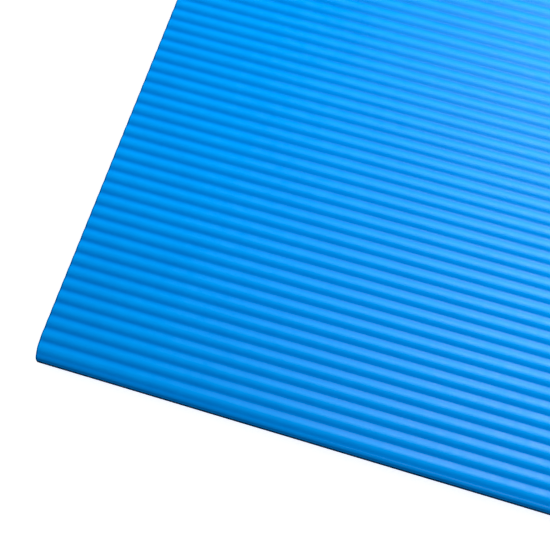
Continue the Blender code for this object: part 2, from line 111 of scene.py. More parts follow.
class Nodes:
    """A small builder for one procedural material."""

    def __init__(self, name):
        self.material = bpy.data.materials.new(name)
        self.material.use_nodes = True
        self.tree = self.material.node_tree

    @cached_property
    def position(self):
        return self.add("TexCoord").outputs["Object"]

    def add(self, kind, **settings):
        node = self.tree.nodes.new("ShaderNode" + kind)
        for key, value in settings.items():
            if key in node.inputs:
                node.inputs[key].default_value = value
            else:
                setattr(node, key, value)
        return node

    def texture(self, kind, stretch, **settings):
        """A texture over object coordinates, which stretch multiplies axis by axis."""
        vector = self.position
        if stretch:
            mapping = self.add("Mapping", Scale=stretch)
            self.tree.links.new(vector, mapping.inputs["Vector"])
            vector = mapping.outputs["Vector"]
        node = self.add(kind, **settings)
        self.tree.links.new(vector, node.inputs["Vector"])
        return node

    def noise(self, scale, detail, rough, stretch=None):
        node = self.texture("TexNoise", stretch, Scale=scale, Detail=detail, Roughness=rough)
        return node.outputs["Fac"]

    def cells(self, scale, feature="F1", stretch=None):
        node = self.texture("TexVoronoi", stretch, feature=feature, Scale=scale)
        return node.outputs["Distance"]

    def attr(self, name):
        return self.add("Attribute", attribute_name=name).outputs["Fac"]

    def math(self, operation, *operands, clamp=False):
        return math_node(self.tree, operation, *operands, clamp=clamp)

    def plus(self, a, b):
        return self.math("ADD", a, b)

    def times(self, a, b):
        return self.math("MULTIPLY", a, b)

    def wave(self, source, pitch):
        return self.math("SINE", self.times(source, 2 * math.pi / pitch))

    def remap(self, value, span=(0.3, 0.7), to=(0.0, 1.0)):
        node = self.add("MapRange")
        for key, number in zip(("From Min", "From Max", "To Min", "To Max"), span + to):
            node.inputs[key].default_value = number
        feed(self.tree, node.inputs["Value"], value)
        return node.outputs["Result"]

    def ramp(self, value, stops):
        node = self.add("ValToRGB")
        elements = node.color_ramp.elements
        while len(elements) < len(stops):
            elements.new(0.5)
        for element, (position, colour) in zip(elements, stops):
            element.position = position
            element.color = (*colour, 1.0)
        feed(self.tree, node.inputs["Fac"], value)
        return node.outputs["Color"]

    def mix(self, amount, a, b):
        node = self.add("Mix", data_type="RGBA")
        for index, value in ((0, amount), (6, a), (7, b)):
            feed(self.tree, node.inputs[index], value)
        return node.outputs[2]

    def layered(self, colour, *layers):
        """A colour with (amount, colour) layers mixed over it in turn."""
        for amount, layer in layers:
            colour = self.mix(amount, colour, layer)
        return colour

    def bump(self, height, distance, strength):
        node = self.add("Bump", Strength=strength, Distance=distance)
        feed(self.tree, node.inputs["Height"], height)
        return node.outputs["Normal"]

    def finish(self, **inputs):
        """Feeds the surface shader and returns the material."""
        shader = self.tree.nodes["Principled BSDF"]
        for key, value in inputs.items():
            feed(self.tree, shader.inputs[key.replace("_", " ")], value)
        return self.material


def ribbed_foam():
    """Blue skinned foam, with painted shade in the grooves, at the toe and along the side edges."""
    m = Nodes("ribbed_foam")
    broad = m.noise(scale=3.2, detail=3.0, rough=0.55)
    cloudy = m.noise(scale=26.0, detail=4.0, rough=0.6)
    fine = m.noise(scale=140.0, detail=4.0, rough=0.6)
    pores = m.cells(scale=950.0)
    groove, toe, side = m.attr("groove"), m.attr("toe"), m.attr("side")
    colour = m.layered(
        (0.0008, 0.268, 0.770),
        (m.remap(broad), (0.0012, 0.300, 0.840)),
        (m.remap(fine, span=(0.35, 0.7), to=(0.0, 0.22)), (0.0015, 0.335, 0.890)),
        (m.remap(cloudy, span=(0.45, 0.75), to=(0.0, 0.25)), (0.0010, 0.225, 0.690)),
        # painted shade: the grooves are darkened in the colour, on top of the shading the rib shapes
        # get
        (m.remap(groove, span=(0.0, 1.0), to=(0.0, 0.50)), (0.0010, 0.130, 0.520)),
        # painted shade: the colour darkens towards the toe and its pressed-down edge
        (toe, (0.0040, 0.105, 0.300)),
        # painted shade: a dark rim along the rounded side edges
        (side, (0.0015, 0.030, 0.110)),
    )
    height = m.plus(m.times(pores, 0.5), m.times(fine, 1.0))
    return m.finish(
        Base_Color=colour,
        Roughness=m.remap(fine, to=(0.42, 0.56)),
        Specular_IOR_Level=m.remap(m.plus(toe, side), span=(0.15, 0.6), to=(0.30, 0.04)),
        Normal=m.bump(height, distance=0.00012, strength=0.6),
    )


def cut_foam():
    """The raw cut edge of the sheet: matt, with open cells, painted near-black navy for the shade it
    stands in.
    """
    m = Nodes("cut_foam")
    cells = m.cells(scale=1300.0)
    fine = m.noise(scale=420.0, detail=3.0, rough=0.6)
    # painted shade: near-black navy in place of the foam's own blue
    stops = (
        (0.0, (0.0008, 0.004, 0.012)),
        (0.55, (0.0015, 0.012, 0.036)),
        (1.0, (0.003, 0.024, 0.070)),
    )
    return m.finish(
        Base_Color=m.ramp(cells, stops),
        Roughness=0.9,
        Specular_IOR_Level=0.15,
        Normal=m.bump(m.plus(cells, fine), distance=0.0002, strength=0.7),
    )


RIBBED, CUT = ribbed_foam(), cut_foam()


# ---- mesh helpers ------------------------------------------------------------
def turn_outward(mesh):
    bm = bmesh.new()
    bm.from_mesh(mesh)
    bmesh.ops.recalc_face_normals(bm, faces=bm.faces)
    bm.to_mesh(mesh)
    bm.free()


def new_mesh(name, verts, faces, mats, face_mats=None, smooth=True, attrs=None, outward=True):
    """A linked mesh object. outward recalculates its normals to face out."""
    mesh = bpy.data.meshes.new(name)
    mesh.from_pydata([tuple(v) for v in verts], [], [tuple(f) for f in faces])
    for mat in mats:
        mesh.materials.append(mat)
    if face_mats is not None:
        mesh.polygons.foreach_set("material_index", np.asarray(face_mats, np.int32))
    if smooth:
        mesh.polygons.foreach_set("use_smooth", np.ones(len(mesh.polygons), bool))
    for key, values in (attrs or {}).items():
        layer = mesh.attributes.new(key, "FLOAT", "POINT")
        layer.data.foreach_set("value", np.asarray(values, np.float32))
    mesh.update()
    ob = bpy.data.objects.new(name, mesh)
    bpy.context.scene.collection.objects.link(ob)
    if outward:
        turn_outward(mesh)
    return ob


def attach(ob, body, node=None):
    """Fixes a piece to a moving body and retires its CAD node."""
    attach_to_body(ob, body)
    if node:
        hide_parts(node)
    return ob


def grid_faces(rows, cols):
    return [
        (i * cols + j, (i + 1) * cols + j, (i + 1) * cols + j + 1, i * cols + j + 1)
        for i in range(rows - 1)
        for j in range(cols - 1)
    ]


def band_faces(rings, size, first=0, looped=False):
    """Quads between successive rings of points. looped joins the last ring to the first."""
    faces = []
    for i in range(rings if looped else rings - 1):
        a, b = first + i * size, first + (i + 1) % rings * size
        for j in range(size):
            k = (j + 1) % size
            faces.append((a + j, a + k, b + k, b + j))
    return faces


def tube_faces(rings, size, first=0):
    """band_faces with both ends capped."""
    last = first + (rings - 1) * size
    caps = [tuple(reversed(range(first, first + size))), tuple(range(last, last + size))]
    return band_faces(rings, size, first) + caps


def lofted(name, rings, mat, attrs=None):
    """Joins rings of points, all of one length, into a closed solid."""
    verts = [point for ring in rings for point in ring]
    return new_mesh(name, verts, tube_faces(len(rings), len(rings[0])), [mat], attrs=attrs)


def smoothstep(f):
    return f * f * (3 - 2 * f)


def smooth_noise(count, scale, seed, amount):
    """A smooth random line of values, one bump every scale samples."""
    knots = np.random.default_rng(seed).uniform(-1, 1, int(count / scale) + 4)
    x = np.arange(count) / scale
    i = x.astype(int)
    f = smoothstep(x - i)
    return amount * (knots[i] * (1 - f) + knots[i + 1] * f)


def bilinear(at, i, j, f, g):
    """Blends at(i, j) and its three next neighbours by the fractions f and g."""
    low = at(i, j) * (1 - f) + at(i + 1, j) * f
    high = at(i, j + 1) * (1 - f) + at(i + 1, j + 1) * f
    return low * (1 - g) + high * g


def value_noise(u, v, scale, seed):
    """Smooth 2-D noise in -1..1 for arrays u, v in metres."""
    grid = np.random.default_rng(seed).uniform(-1, 1, (64, 64))
    a, b = u / scale + 17.3, v / scale + 9.1
    i, j = np.floor(a).astype(int), np.floor(b).astype(int)
    return bilinear(lambda p, q: grid[p % 64, q % 64], i, j, smoothstep(a - i), smoothstep(b - j))


# ---- ribbed sheets -----------------------------------------------------------
RIB_PITCH = 8.0 * MM
RIB_DEPTH = 1.05 * MM
SHEET_THICK = 6.0 * MM
TOE_TO_GROOVE = 0.35  # pitches from the slope's low end to the first groove
TOP_RADIUS = 0.85 * MM  # rounding of the sheet's top edges
# Places across one rib, in pitches from its groove.
RIB_STEPS = (0.0, 0.035, 0.09, 0.17, 0.27, 0.38, 0.5, 0.62, 0.73, 0.83, 0.91, 0.965)
# Extra rows and columns close to the cut edges, in mm from the edge.
END_ROWS = (0.0, 0.10, 0.28, 0.52, 0.78)
END_ZONE = 1.1 * MM
TOE_ROWS = (1.5, 2.4, 3.4, 4.6, 6.0, 7.8, 9.8, 12.0, 14.5)
SIDE_COLS = (0.0, 0.12, 0.3, 0.55, 0.85, 1.3)
# The toe: its sides draw in over TAPER, and its end is pressed down over PRESS.
TOE_TAPER, TOE_TAPER_IN = 15.0 * MM, 3.6 * MM
TOE_PRESS, TOE_PRESS_DOWN = 5.5 * MM, 1.25 * MM
TOE_UNDERCUT = 1.7 * MM


def sheet_rows(start, end, toe):
    """Stations along the slope, from start to end."""
    first = math.floor((start + SLOPE_END) / RIB_PITCH) - 2
    last = math.floor((end + SLOPE_END) / RIB_PITCH) + 2
    ribs = [
        (k + TOE_TO_GROOVE + step) * RIB_PITCH - SLOPE_END
        for k in range(first, last + 1)
        for step in RIB_STEPS
    ]
    rows = [s for s in ribs if start + END_ZONE < s < end - END_ZONE]
    rows += [start + e * MM for e in END_ROWS] + [end - e * MM for e in END_ROWS]
    if toe:
        rows += [start + e * MM for e in TOE_ROWS]
    return sorted(rows)


def edge_drop(distance):
    """How far a rounded top edge has dropped, this distance in from the cut."""
    if distance >= TOP_RADIUS:
        return 0.0
    return TOP_RADIUS - math.sqrt(max(0.0, TOP_RADIUS**2 - (TOP_RADIUS - distance) ** 2))


def toe_painted_shade(distance):
    """Painted shade at the toe, darkened into the colour: a long faint fade, a short band and the
    very edge.
    """
    fade = 0.14 * math.exp(-distance / (55 * MM))
    band = 0.55 * math.exp(-((distance / (2.9 * MM)) ** 3))
    rim = 0.35 * math.exp(-((distance / (1.0 * MM)) ** 2))
    return min(0.95, fade + band + rim)


def ribbed_sheet(name, start, end, toe):
    """One section's sheet: round ribs, narrow grooves, soft top edges, raw cut faces."""
    rows = sheet_rows(start, end, toe)
    # Columns as (share of the half width, offset).
    cols = [(-1, e * MM) for e in SIDE_COLS]
    cols += [(share, 0.0) for share in np.linspace(-1, 1, 41)[1:-1]]
    cols += [(1, -e * MM) for e in reversed(SIDE_COLS)]
    n_rows, n_cols = len(rows), len(cols)
    ripple = smooth_noise(n_cols, scale=9, seed=5, amount=0.018)
    ripple += smooth_noise(n_cols, scale=3, seed=6, amount=0.006)

    verts, groove, near_toe, near_side = [], [], [], []
    for along in rows:
        from_start = along - start
        half = HALF_WIDTH
        if toe and from_start < TOE_TAPER:
            share = 0.93 * (1 - from_start / TOE_TAPER)
            half -= TOE_TAPER_IN * (1 - math.sqrt(1 - share**2))
        end_fall = edge_drop(min(from_start, end - along))
        if toe and from_start < TOE_PRESS:
            end_fall += TOE_PRESS_DOWN * (1 - from_start / TOE_PRESS) ** 2
        phase = ((along + SLOPE_END) / RIB_PITCH - TOE_TO_GROOVE) % 1.0
        for j, (share, offset) in enumerate(cols):
            x = share * half + offset
            from_side = half - abs(x)
            dip = 0.5 + 0.5 * math.cos(2 * math.pi * (phase + ripple[j]))
            rib_drop = RIB_DEPTH * (0.72 * dip + 0.28 * dip**3)
            fall = max(end_fall, edge_drop(from_side))
            rib_drop *= 1 - 0.6 * min(1.0, fall / TOP_RADIUS)
            verts.append((x, *on_slope(along, CREST - rib_drop - fall)))
            # mask for the painted shade in the grooves
            groove.append(dip**1.6)
            near_toe.append(toe_painted_shade(from_start) if toe else 0.0)
            # mask for the painted shade along the side edges
            near_side.append(0.80 * math.exp(-((from_side / (0.70 * MM)) ** 4)))
    n_top = len(verts)

    # Underside edges, a left and a right point per row. At the toe they slant back under.
    for i, along in enumerate(rows):
        if toe:
            along = max(along, start + TOE_UNDERCUT + 0.002 * MM * i)
        y, z = on_slope(along, CREST - SHEET_THICK)
        verts.append((verts[i * n_cols][0], y, z))
        verts.append((verts[(i + 1) * n_cols - 1][0], y, z))
    lip = len(verts)
    if toe:  # the lower edge of the square-cut end
        for j in range(n_cols):
            wavy = -6.38 * MM + 0.08 * MM * math.sin(j * 0.9)
            verts.append((verts[j][0], *on_slope(start + 0.02 * MM, wavy)))
    padding = [0.0] * (len(verts) - n_top)

    faces = []
    for i in range(n_rows - 1):
        a, b = i * n_cols, (i + 1) * n_cols
        faces += [(a + j, a + j + 1, b + j + 1, b + j) for j in range(n_cols - 1)]
    n_ribbed = len(faces)
    for i in range(n_rows - 1):
        left, next_left = i * n_cols, (i + 1) * n_cols
        right, next_right = left + n_cols - 1, next_left + n_cols - 1
        low, next_low = n_top + 2 * i, n_top + 2 * (i + 1)
        lip_left, lip_right = ([lip], [lip + n_cols - 1]) if toe and i == 0 else ([], [])
        faces.append([left, next_left, next_low, low, *lip_left])
        faces.append([next_right, right, *lip_right, low + 1, next_low + 1])
        faces.append([low, next_low, next_low + 1, low + 1])
    if toe:
        faces += [(j + 1, j, lip + j, lip + j + 1) for j in range(n_cols - 1)]
    end_edge = lip if toe else 0
    faces.append([n_top, n_top + 1, *range(end_edge + n_cols - 1, end_edge - 1, -1)])
    last, last_low = (n_rows - 1) * n_cols, n_top + 2 * (n_rows - 1)
    faces.append([last_low + 1, last_low, *range(last, last + n_cols)])

    attrs = {"groove": groove + padding, "toe": near_toe + padding, "side": near_side + padding}
    face_mats = [0] * n_ribbed + [1] * (len(faces) - n_ribbed)
    ob = new_mesh(name, verts, faces, [RIBBED, CUT], face_mats, attrs=attrs)
    ob.data.set_sharp_from_angle(angle=math.radians(50))
    return ob


for prefix, start, end, toe in (
    ("low", -SLOPE_END - 0.5 * MM, -8.0 * MM, True),
    ("high", 8.0 * MM, SLOPE_END, False),
):
    sheet = ribbed_sheet(f"{prefix}_ribbed_top", start, end, toe)
    attach(sheet, f"{prefix}_section", f"{prefix}_ribbed_sheet")


# ---- other materials ---------------------------------------------------------
def cover_vinyl():
    """Coated fabric: leather grain over a pressed-through scrim, with rubbed edges."""
    m = Nodes("vinyl_side")
    dark, light = (0.0007, 0.094, 0.375), (0.0010, 0.127, 0.475)
    scrim_pitch = 1.25  # mm
    broad = m.noise(scale=5.0, detail=4.0, rough=0.6)
    grain = m.cells(scale=560.0, feature="SMOOTH_F1")
    fine = m.noise(scale=900.0, detail=2.0, rough=0.6)
    marks = m.noise(scale=30.0, detail=6.0, rough=0.75)
    streaks = m.noise(scale=9.0, detail=5.0, rough=0.7, stretch=(1.0, 1.0, 5.0))
    at_edge = m.remap(m.attr("edge"), span=(0.0, 1.0), to=(0.12, 1.0))
    scrim = m.times(m.wave(m.attr("pu"), scrim_pitch), m.wave(m.attr("pv"), scrim_pitch))
    worn = m.times(m.remap(marks, span=(0.50, 0.70)), at_edge)
    scuffs = m.math("MULTIPLY", worn, 0.45, clamp=True)
    colour = m.layered(
        dark,
        (m.remap(broad), light),
        (m.remap(grain, span=(0.1, 0.7), to=(0.0, 0.45)), shade(dark, gain=0.45)),
        (m.remap(streaks, span=(0.5, 0.8), to=(0.0, 0.30)), shade(light, gain=1.35)),
        (scuffs, shade(light, gain=1.5, lift=0.012)),
    )
    height = m.plus(m.times(grain, -1.0), m.times(fine, 0.30))
    height = m.plus(height, m.times(scrim, 0.16))
    return m.finish(
        Base_Color=colour,
        Roughness=m.plus(m.remap(streaks, to=(0.33, 0.48)), m.times(worn, 0.2)),
        Specular_IOR_Level=0.34,
        Normal=m.bump(height, distance=0.00040, strength=0.6),
    )


def base_vinyl():
    """The underside: matt black with raised grip dots."""
    m = Nodes("base_grip")
    dots = m.cells(scale=240.0, stretch=(1, 1, 0.001))
    marks = m.noise(scale=24.0, detail=5.0, rough=0.7)
    black, grey = (0.012, 0.013, 0.016), (0.034, 0.035, 0.038)
    return m.finish(
        Base_Color=m.mix(m.remap(marks, span=(0.35, 0.7)), black, grey),
        Roughness=m.remap(marks, to=(0.78, 0.92)),
        Specular_IOR_Level=0.35,
        Normal=m.bump(m.math("SUBTRACT", 1.0, dots), distance=0.0006, strength=0.6),
    )


def webbing():
    """Flat woven strap: threads crossing, laid out on the strap's own length and width."""
    m = Nodes("webbing_black")
    dark, light = (0.006, 0.006, 0.008), (0.032, 0.032, 0.037)
    warp_pitch, weft_pitch = 1.6, 2.1  # mm
    along, across = m.attr("along"), m.attr("across")
    warp = m.wave(across, warp_pitch)
    shift = m.times(m.math("FLOOR", m.times(across, 1 / warp_pitch)), weft_pitch / 2)
    weft = m.wave(m.plus(along, shift), weft_pitch)
    weave = m.times(m.plus(warp, m.times(weft, 0.9)), 0.5)
    fuzz = m.noise(scale=2200.0, detail=2.0, rough=0.6)
    colour = m.layered(
        dark,
        (m.remap(weave, span=(-0.9, 0.9)), light),
        (m.remap(fuzz, span=(0.4, 0.8), to=(0.0, 0.25)), shade(light, gain=1.8, lift=0.01)),
    )
    height = m.plus(weave, m.times(fuzz, 0.4))
    return m.finish(
        Base_Color=colour,
        Roughness=m.remap(fuzz, to=(0.72, 0.9)),
        Specular_IOR_Level=0.3,
        Normal=m.bump(height, distance=0.00045, strength=0.85),
        Sheen_Weight=0.25,
        Sheen_Roughness=0.5,
    )


def tape_cloth():
    m = Nodes("zip_tape_cloth")
    weave = m.times(m.wave(m.attr("along"), pitch=0.9), m.wave(m.attr("across"), pitch=0.7))
    fuzz = m.noise(scale=1500.0, detail=2.0, rough=0.6)
    dark, light = (0.004, 0.022, 0.090), (0.010, 0.055, 0.190)
    return m.finish(
        Base_Color=m.mix(m.remap(weave, span=(-1.0, 1.0)), dark, light),
        Roughness=m.remap(fuzz, to=(0.78, 0.92)),
        Specular_IOR_Level=0.25,
        Normal=m.bump(m.plus(weave, fuzz), distance=0.0003, strength=0.7),
    )


def coil_plastic():
    m = Nodes("zip_coil")
    blue = (0.006, 0.035, 0.140)
    mottle = m.noise(scale=320.0, detail=3.0, rough=0.6)
    return m.finish(
        Base_Color=m.mix(m.remap(mottle), shade(blue, gain=0.8), shade(blue, gain=1.2)),
        Roughness=m.remap(mottle, to=(0.30, 0.44)),
        Normal=m.bump(mottle, distance=0.00004, strength=0.4),
    )


def nickel():
    """Nickel plate with fine lines and duller spots."""
    m = Nodes("nickel_plate")
    mottle = m.noise(scale=260.0, detail=4.0, rough=0.65)
    lines = m.noise(scale=900.0, detail=3.0, rough=0.6, stretch=(0.08, 1.0, 1.0))
    spots = m.noise(scale=60.0, detail=4.0, rough=0.7)
    dulled = m.remap(spots, span=(0.5, 0.75), to=(0.0, 0.8))
    dull_rough = m.remap(spots, span=(0.5, 0.8), to=(0.0, 0.16))
    return m.finish(
        Base_Color=m.mix(dulled, (0.33, 0.325, 0.31), (0.17, 0.165, 0.155)),
        Metallic=1.0,
        Roughness=m.plus(m.remap(mottle, to=(0.28, 0.40)), dull_rough),
        Normal=m.bump(lines, distance=0.00003, strength=0.5),
    )


def pile(name, cell_scale, fuzz_scale, fuzz_height, sheen):
    """Hook or loop tape: a dense field of tiny stems."""
    m = Nodes(name)
    cells = m.cells(cell_scale)
    fuzz = m.noise(fuzz_scale, detail=4.0, rough=0.7)
    stem, gap = (0.050, 0.050, 0.056), (0.006, 0.006, 0.008)
    height = m.plus(m.math("SUBTRACT", 1.0, cells), m.times(fuzz, fuzz_height))
    return m.finish(
        Base_Color=m.mix(m.remap(cells, span=(0.0, 0.6)), stem, gap),
        Roughness=m.remap(fuzz, to=(0.8, 0.97)),
        Specular_IOR_Level=0.2,
        Normal=m.bump(height, distance=0.0007, strength=0.9),
        Sheen_Weight=sheen,
    )


def thread(name, colour):
    m = Nodes(name)
    twist = m.noise(scale=2600.0, detail=1.0, rough=0.5)
    return m.finish(
        Base_Color=m.mix(twist, shade(colour, gain=0.7), colour),
        Roughness=m.remap(twist, to=(0.5, 0.7)),
        Normal=m.bump(twist, distance=0.0001, strength=0.5),
        Sheen_Weight=0.3,
    )


def open_foam():
    m = Nodes("core_open_foam")
    cells = m.cells(scale=700.0)
    fine = m.noise(scale=300.0, detail=4.0, rough=0.6)
    hollow, wall = (0.52, 0.50, 0.42), (0.74, 0.72, 0.64)
    return m.finish(
        Base_Color=m.mix(m.remap(cells, span=(0.0, 0.6)), hollow, wall),
        Roughness=m.remap(fine, to=(0.9, 1.0)),
        Specular_IOR_Level=0.1,
        Normal=m.bump(m.plus(cells, fine), distance=0.0008, strength=0.8),
    )


VINYL = cover_vinyl()
BASE = base_vinyl()
WEBBING = webbing()
TAPE = tape_cloth()
COIL = coil_plastic()
NICKEL = nickel()
HOOKS = pile("hook_tape", cell_scale=1150.0, fuzz_scale=300.0, fuzz_height=0.5, sheen=0.1)
LOOPS = pile("loop_tape", cell_scale=1500.0, fuzz_scale=600.0, fuzz_height=1.2, sheen=0.4)
THREAD = thread("thread_blue", (0.030, 0.230, 0.700))
THREAD_DARK = thread("thread_black", (0.035, 0.035, 0.042))
FOAM = open_foam()

# ---- padded panels -----------------------------------------------------------
ZIP_HALF = 262 * MM  # half length of a zip's opening
ZIP_GAP = 6 * MM  # half height of the opening
EDGE_ROLL = 7.0 * MM  # an edge rounds over within this distance of the seam
CROWN_REACH = 55 * MM  # how quickly the padding swells away from a seam
PUCKER_REACH = 19 * MM  # how far puckers run in from a seam
# Puckers along a seam: shortest and longest wavelength in mm, strength.
PUCKER_WAVES = ((11, 16, 0.35), (22, 34, 0.75), (48, 75, 0.9))
# Mesh lines beside a panel's edge, and beside a zip opening, in mm from it.
EDGE_LINES = (0, 0.12, 0.4, 0.9, 1.7, 2.9, 4.5, 7.0)
OPENING_LINES = (0, 0.15, 0.45, 0.9, 1.6, 2.5, 3.6, 5.2)


def quarter_round(share, power=2):
    """0 to 1 along a rounded-over edge."""
    return 1 - np.sqrt(np.maximum(0, 1 - share**power))


def mesh_lines(length, step, opening=None):
    """Shares of a length where mesh lines run, closer at the ends and by an opening."""
    near = [x * MM for x in EDGE_LINES]
    near = [x for x in near if x < length * 0.5]
    middle = np.arange(near[-1] + step, length - near[-1] - step * 0.4, step)
    lines = sorted(set(near) | set(middle) | {length - x for x in near})
    if opening:
        low, high = opening
        outside, inside = 6.4 * MM, 1.0 * MM  # ordinary lines this close are dropped
        lines = [
            x for x in lines
            if not (low - outside < x < low + inside or high - inside < x < high + outside)
        ]
        beside = [low - r * MM for r in OPENING_LINES] + [high + r * MM for r in OPENING_LINES]
        lines = sorted(set(lines) | set(beside))
    return np.array(lines) / length


def moving_average(line):
    return np.pad(np.convolve(line, np.full(5, 0.2), "valid"), 2, mode="edge")


class Panel:
    """One sewn panel of cover, padded out from its plane.

    outline: its (u, v) corners, counter-clockwise from low u, low v; u sides are upright.
    place: turns (u, v, height) into a point. puff: swell of the padding. base: its level
    at the seams. pucker: size of seam puckers. lip: gap from outline to sewn edge.
    zip_z: height of a zip opening. spots: areas held flat, each
    (u, v, half u, half v, angle, reach).
    """

    def __init__(self, outline, place, puff, base, seed, pucker, lip, zip_z=None, spots=()):
        self.outline = np.array(outline, float)
        self.place = place
        self.puff, self.base, self.seed = puff, base, seed
        self.pucker, self.lip = pucker, lip
        self.zip_z = zip_z
        self.window = None
        if zip_z is not None:
            self.window = (-ZIP_HALF, ZIP_HALF, zip_z - ZIP_GAP, zip_z + ZIP_GAP)
        self.spots = spots
        self.field = None
        self.outward = place(0.0, 0.0, 1.0) - place(0.0, 0.0, 0.0)
        self.edges = []  # corner, direction, inward normal
        for a, b in zip(self.outline, np.roll(self.outline, -1, axis=0)):
            d = (b - a) / np.linalg.norm(b - a)
            self.edges.append((a, d, np.array([-d[1], d[0]])))
        random = np.random.default_rng(seed)
        self.waves = [
            [
                (random.uniform(low, high) * MM, random.uniform(0, 6.3), strength)
                for low, high, strength in PUCKER_WAVES
            ]
            for _ in self.edges
        ]

    def distances(self, u, v):
        """For each edge, the distance in from it and the distance along it."""
        p = np.stack([u, v], -1)
        return [((p - a) @ normal, (p - a) @ d) for a, d, normal in self.edges]

    def inset(self, by):
        """The outline's corners, moved in from every edge."""
        corners = []
        for i in range(len(self.edges)):
            (a0, _, n0), (a1, _, n1) = self.edges[i - 1], self.edges[i]
            target = np.array([n0 @ a0 + by, n1 @ a1 + by])
            corners.append(np.linalg.solve(np.array([n0, n1]), target))
        return corners

    def spread(self, us, vs):
        """(u, v) on a grid of shares across and up the panel, inside its lip."""
        a, b, c, d = self.inset(self.lip)
        p, q = np.meshgrid(us, vs, indexing="ij")
        grid = (
            a * ((1 - p) * (1 - q))[..., None]
            + b * (p * (1 - q))[..., None]
            + c * (p * q)[..., None]
            + d * ((1 - p) * q)[..., None]
        )
        return grid, p, q

    def freedom(self, u, v):
        """1 where the cover is free to swell, 0 where something holds it down."""
        free = np.ones(np.shape(u))
        if self.zip_z is not None:
            free = np.clip(np.abs(v - self.zip_z) / (45 * MM), 0, 1) ** 1.5
        for mid_u, mid_v, half_u, half_v, angle, reach in self.spots:
            du, dv = u - mid_u, v - mid_v
            a = du * math.cos(angle) + dv * math.sin(angle)
            b = -du * math.sin(angle) + dv * math.cos(angle)
            outside = np.hypot(np.maximum(np.abs(a) - half_u, 0), np.maximum(np.abs(b) - half_v, 0))
            free = np.minimum(free, smoothstep(np.clip(outside / reach, 0, 1)))
        return free

    def height(self, u, v):
        """Distance out of the cover's plane, in metres."""
        level = np.full(np.shape(u), self.base, float)
        crown, ripple = np.ones_like(level), np.zeros_like(level)
        near = np.full(np.shape(u), 9.0)
        for k, ((inward, along), waves) in enumerate(zip(self.distances(u, v), self.waves)):
            inward = np.maximum(inward, 0)
            near = np.minimum(near, inward)
            crown *= 1 - np.exp(-inward / CROWN_REACH)
            share = np.clip((EDGE_ROLL - inward) / (EDGE_ROLL - self.lip), 0, 1)
            level -= self.lip * quarter_round(share)
            # Uneven waves that come and go along the seam and fade inwards.
            wander = 1.1 * value_noise(along, along * 0, 35 * MM, self.seed + 5 + k)
            wave = sum(
                strength * np.sin(2 * np.pi * along / length + phase + wander)
                for length, phase, strength in waves
            )
            wave *= 0.45 + 0.75 * value_noise(along, along * 0 + 0.3, 60 * MM, self.seed + k)
            fade_in = np.clip((inward - self.lip) / (4.0 * MM), 0, 1)
            ripple += wave * np.exp(-inward / PUCKER_REACH) * fade_in
        free = self.freedom(u, v)
        broad = 0.55 * value_noise(u, v, 95 * MM, self.seed + 31)
        broad += 0.25 * value_noise(u, v, 41 * MM, self.seed + 32)
        broad *= np.clip(near / (26 * MM), 0, 1) * min(1.1 * MM, 0.35 * self.puff + 0.25 * MM)
        level += (self.puff * crown + broad) * free
        level += self.pucker * ripple * np.clip(free * 3, 0, 1)
        if self.field is not None:
            calm = np.clip(free * 1.5, 0, 1) * np.clip(near / (14 * MM), 0, 1)
            level += self.wrinkles(u, v) * calm
        if self.window:
            level += self.window_dip(u, v)
        return level

    def window_dip(self, u, v):
        """The cover turning in round the zip opening, with a slight ripple."""
        u0, u1, v0, v1 = self.window
        du = np.maximum(np.maximum(u0 - u, u - u1), 0)
        dv = np.maximum(np.maximum(v0 - v, v - v1), 0)
        away = np.hypot(du, dv)
        turn_in = 3.4 * MM
        dip = -1.5 * MM * quarter_round(np.clip((turn_in - away) / turn_in, 0, 1), power=2.2)
        fade = np.exp(-away / (9 * MM)) * np.clip(away / (3 * MM), 0, 1)
        return dip + 0.10 * MM * np.sin(2 * np.pi * u / (11 * MM)) * fade

    def drape(self, cap):
        """Simulates the loose fabric and keeps its wrinkles, up to cap, as a height field."""
        cell, frames, enlarge = 7.0 * MM, 22, 10.0  # the solver is steadier ten times larger
        size = self.outline.max(0) - self.outline.min(0)
        nu, nv = np.maximum(8, size / cell).astype(int) + 1
        grid, us, vs = self.spread(np.linspace(0, 1, nu), np.linspace(0, 1, nv))
        u, v = grid[..., 0], grid[..., 1]
        z = 0.25 * MM * value_noise(u, v, 24 * MM, self.seed + 3)
        points = np.dstack([grid, z]).reshape(-1, 3)
        mesh = bpy.data.meshes.new("drape")
        mesh.from_pydata([tuple(p) for p in points * enlarge], [], grid_faces(nu, nv))
        ob = bpy.data.objects.new("drape", mesh)
        scene = bpy.context.scene
        scene.collection.objects.link(ob)
        pins = ob.vertex_groups.new(name="pins")
        held = (us == 0) | (us == 1) | (vs == 0) | (vs == 1) | (self.freedom(u, v) < 0.02)
        pins.add([int(i) for i in np.flatnonzero(held.ravel())], 1.0, "REPLACE")
        modifier = ob.modifiers.new("cloth", "CLOTH")
        cloth = modifier.settings
        cloth.vertex_group_mass = "pins"
        cloth.quality = 6
        cloth.mass = 0.35
        cloth.tension_stiffness = 25
        cloth.compression_stiffness = 25
        cloth.shear_stiffness = 12
        cloth.bending_stiffness = 0.9
        cloth.air_damping = 2.0
        cloth.shrink_min = -0.022  # slack: the cloth is cut this much too large
        cloth.use_pressure = True
        cloth.uniform_pressure_force = 1.6
        cloth.effector_weights.gravity = 0.0
        modifier.collision_settings.use_self_collision = False
        modifier.point_cache.frame_start = 1
        modifier.point_cache.frame_end = frames
        for k in range(1, frames + 1):
            scene.frame_set(k)
        draped = ob.evaluated_get(bpy.context.evaluated_depsgraph_get()).data
        out = np.empty(len(draped.vertices) * 3, np.float64)
        draped.vertices.foreach_get("co", out)
        heights = (out.reshape(-1, 3)[:, 2] / enlarge).reshape(nu, nv)
        scene.frame_set(1)
        bpy.data.objects.remove(ob, do_unlink=True)
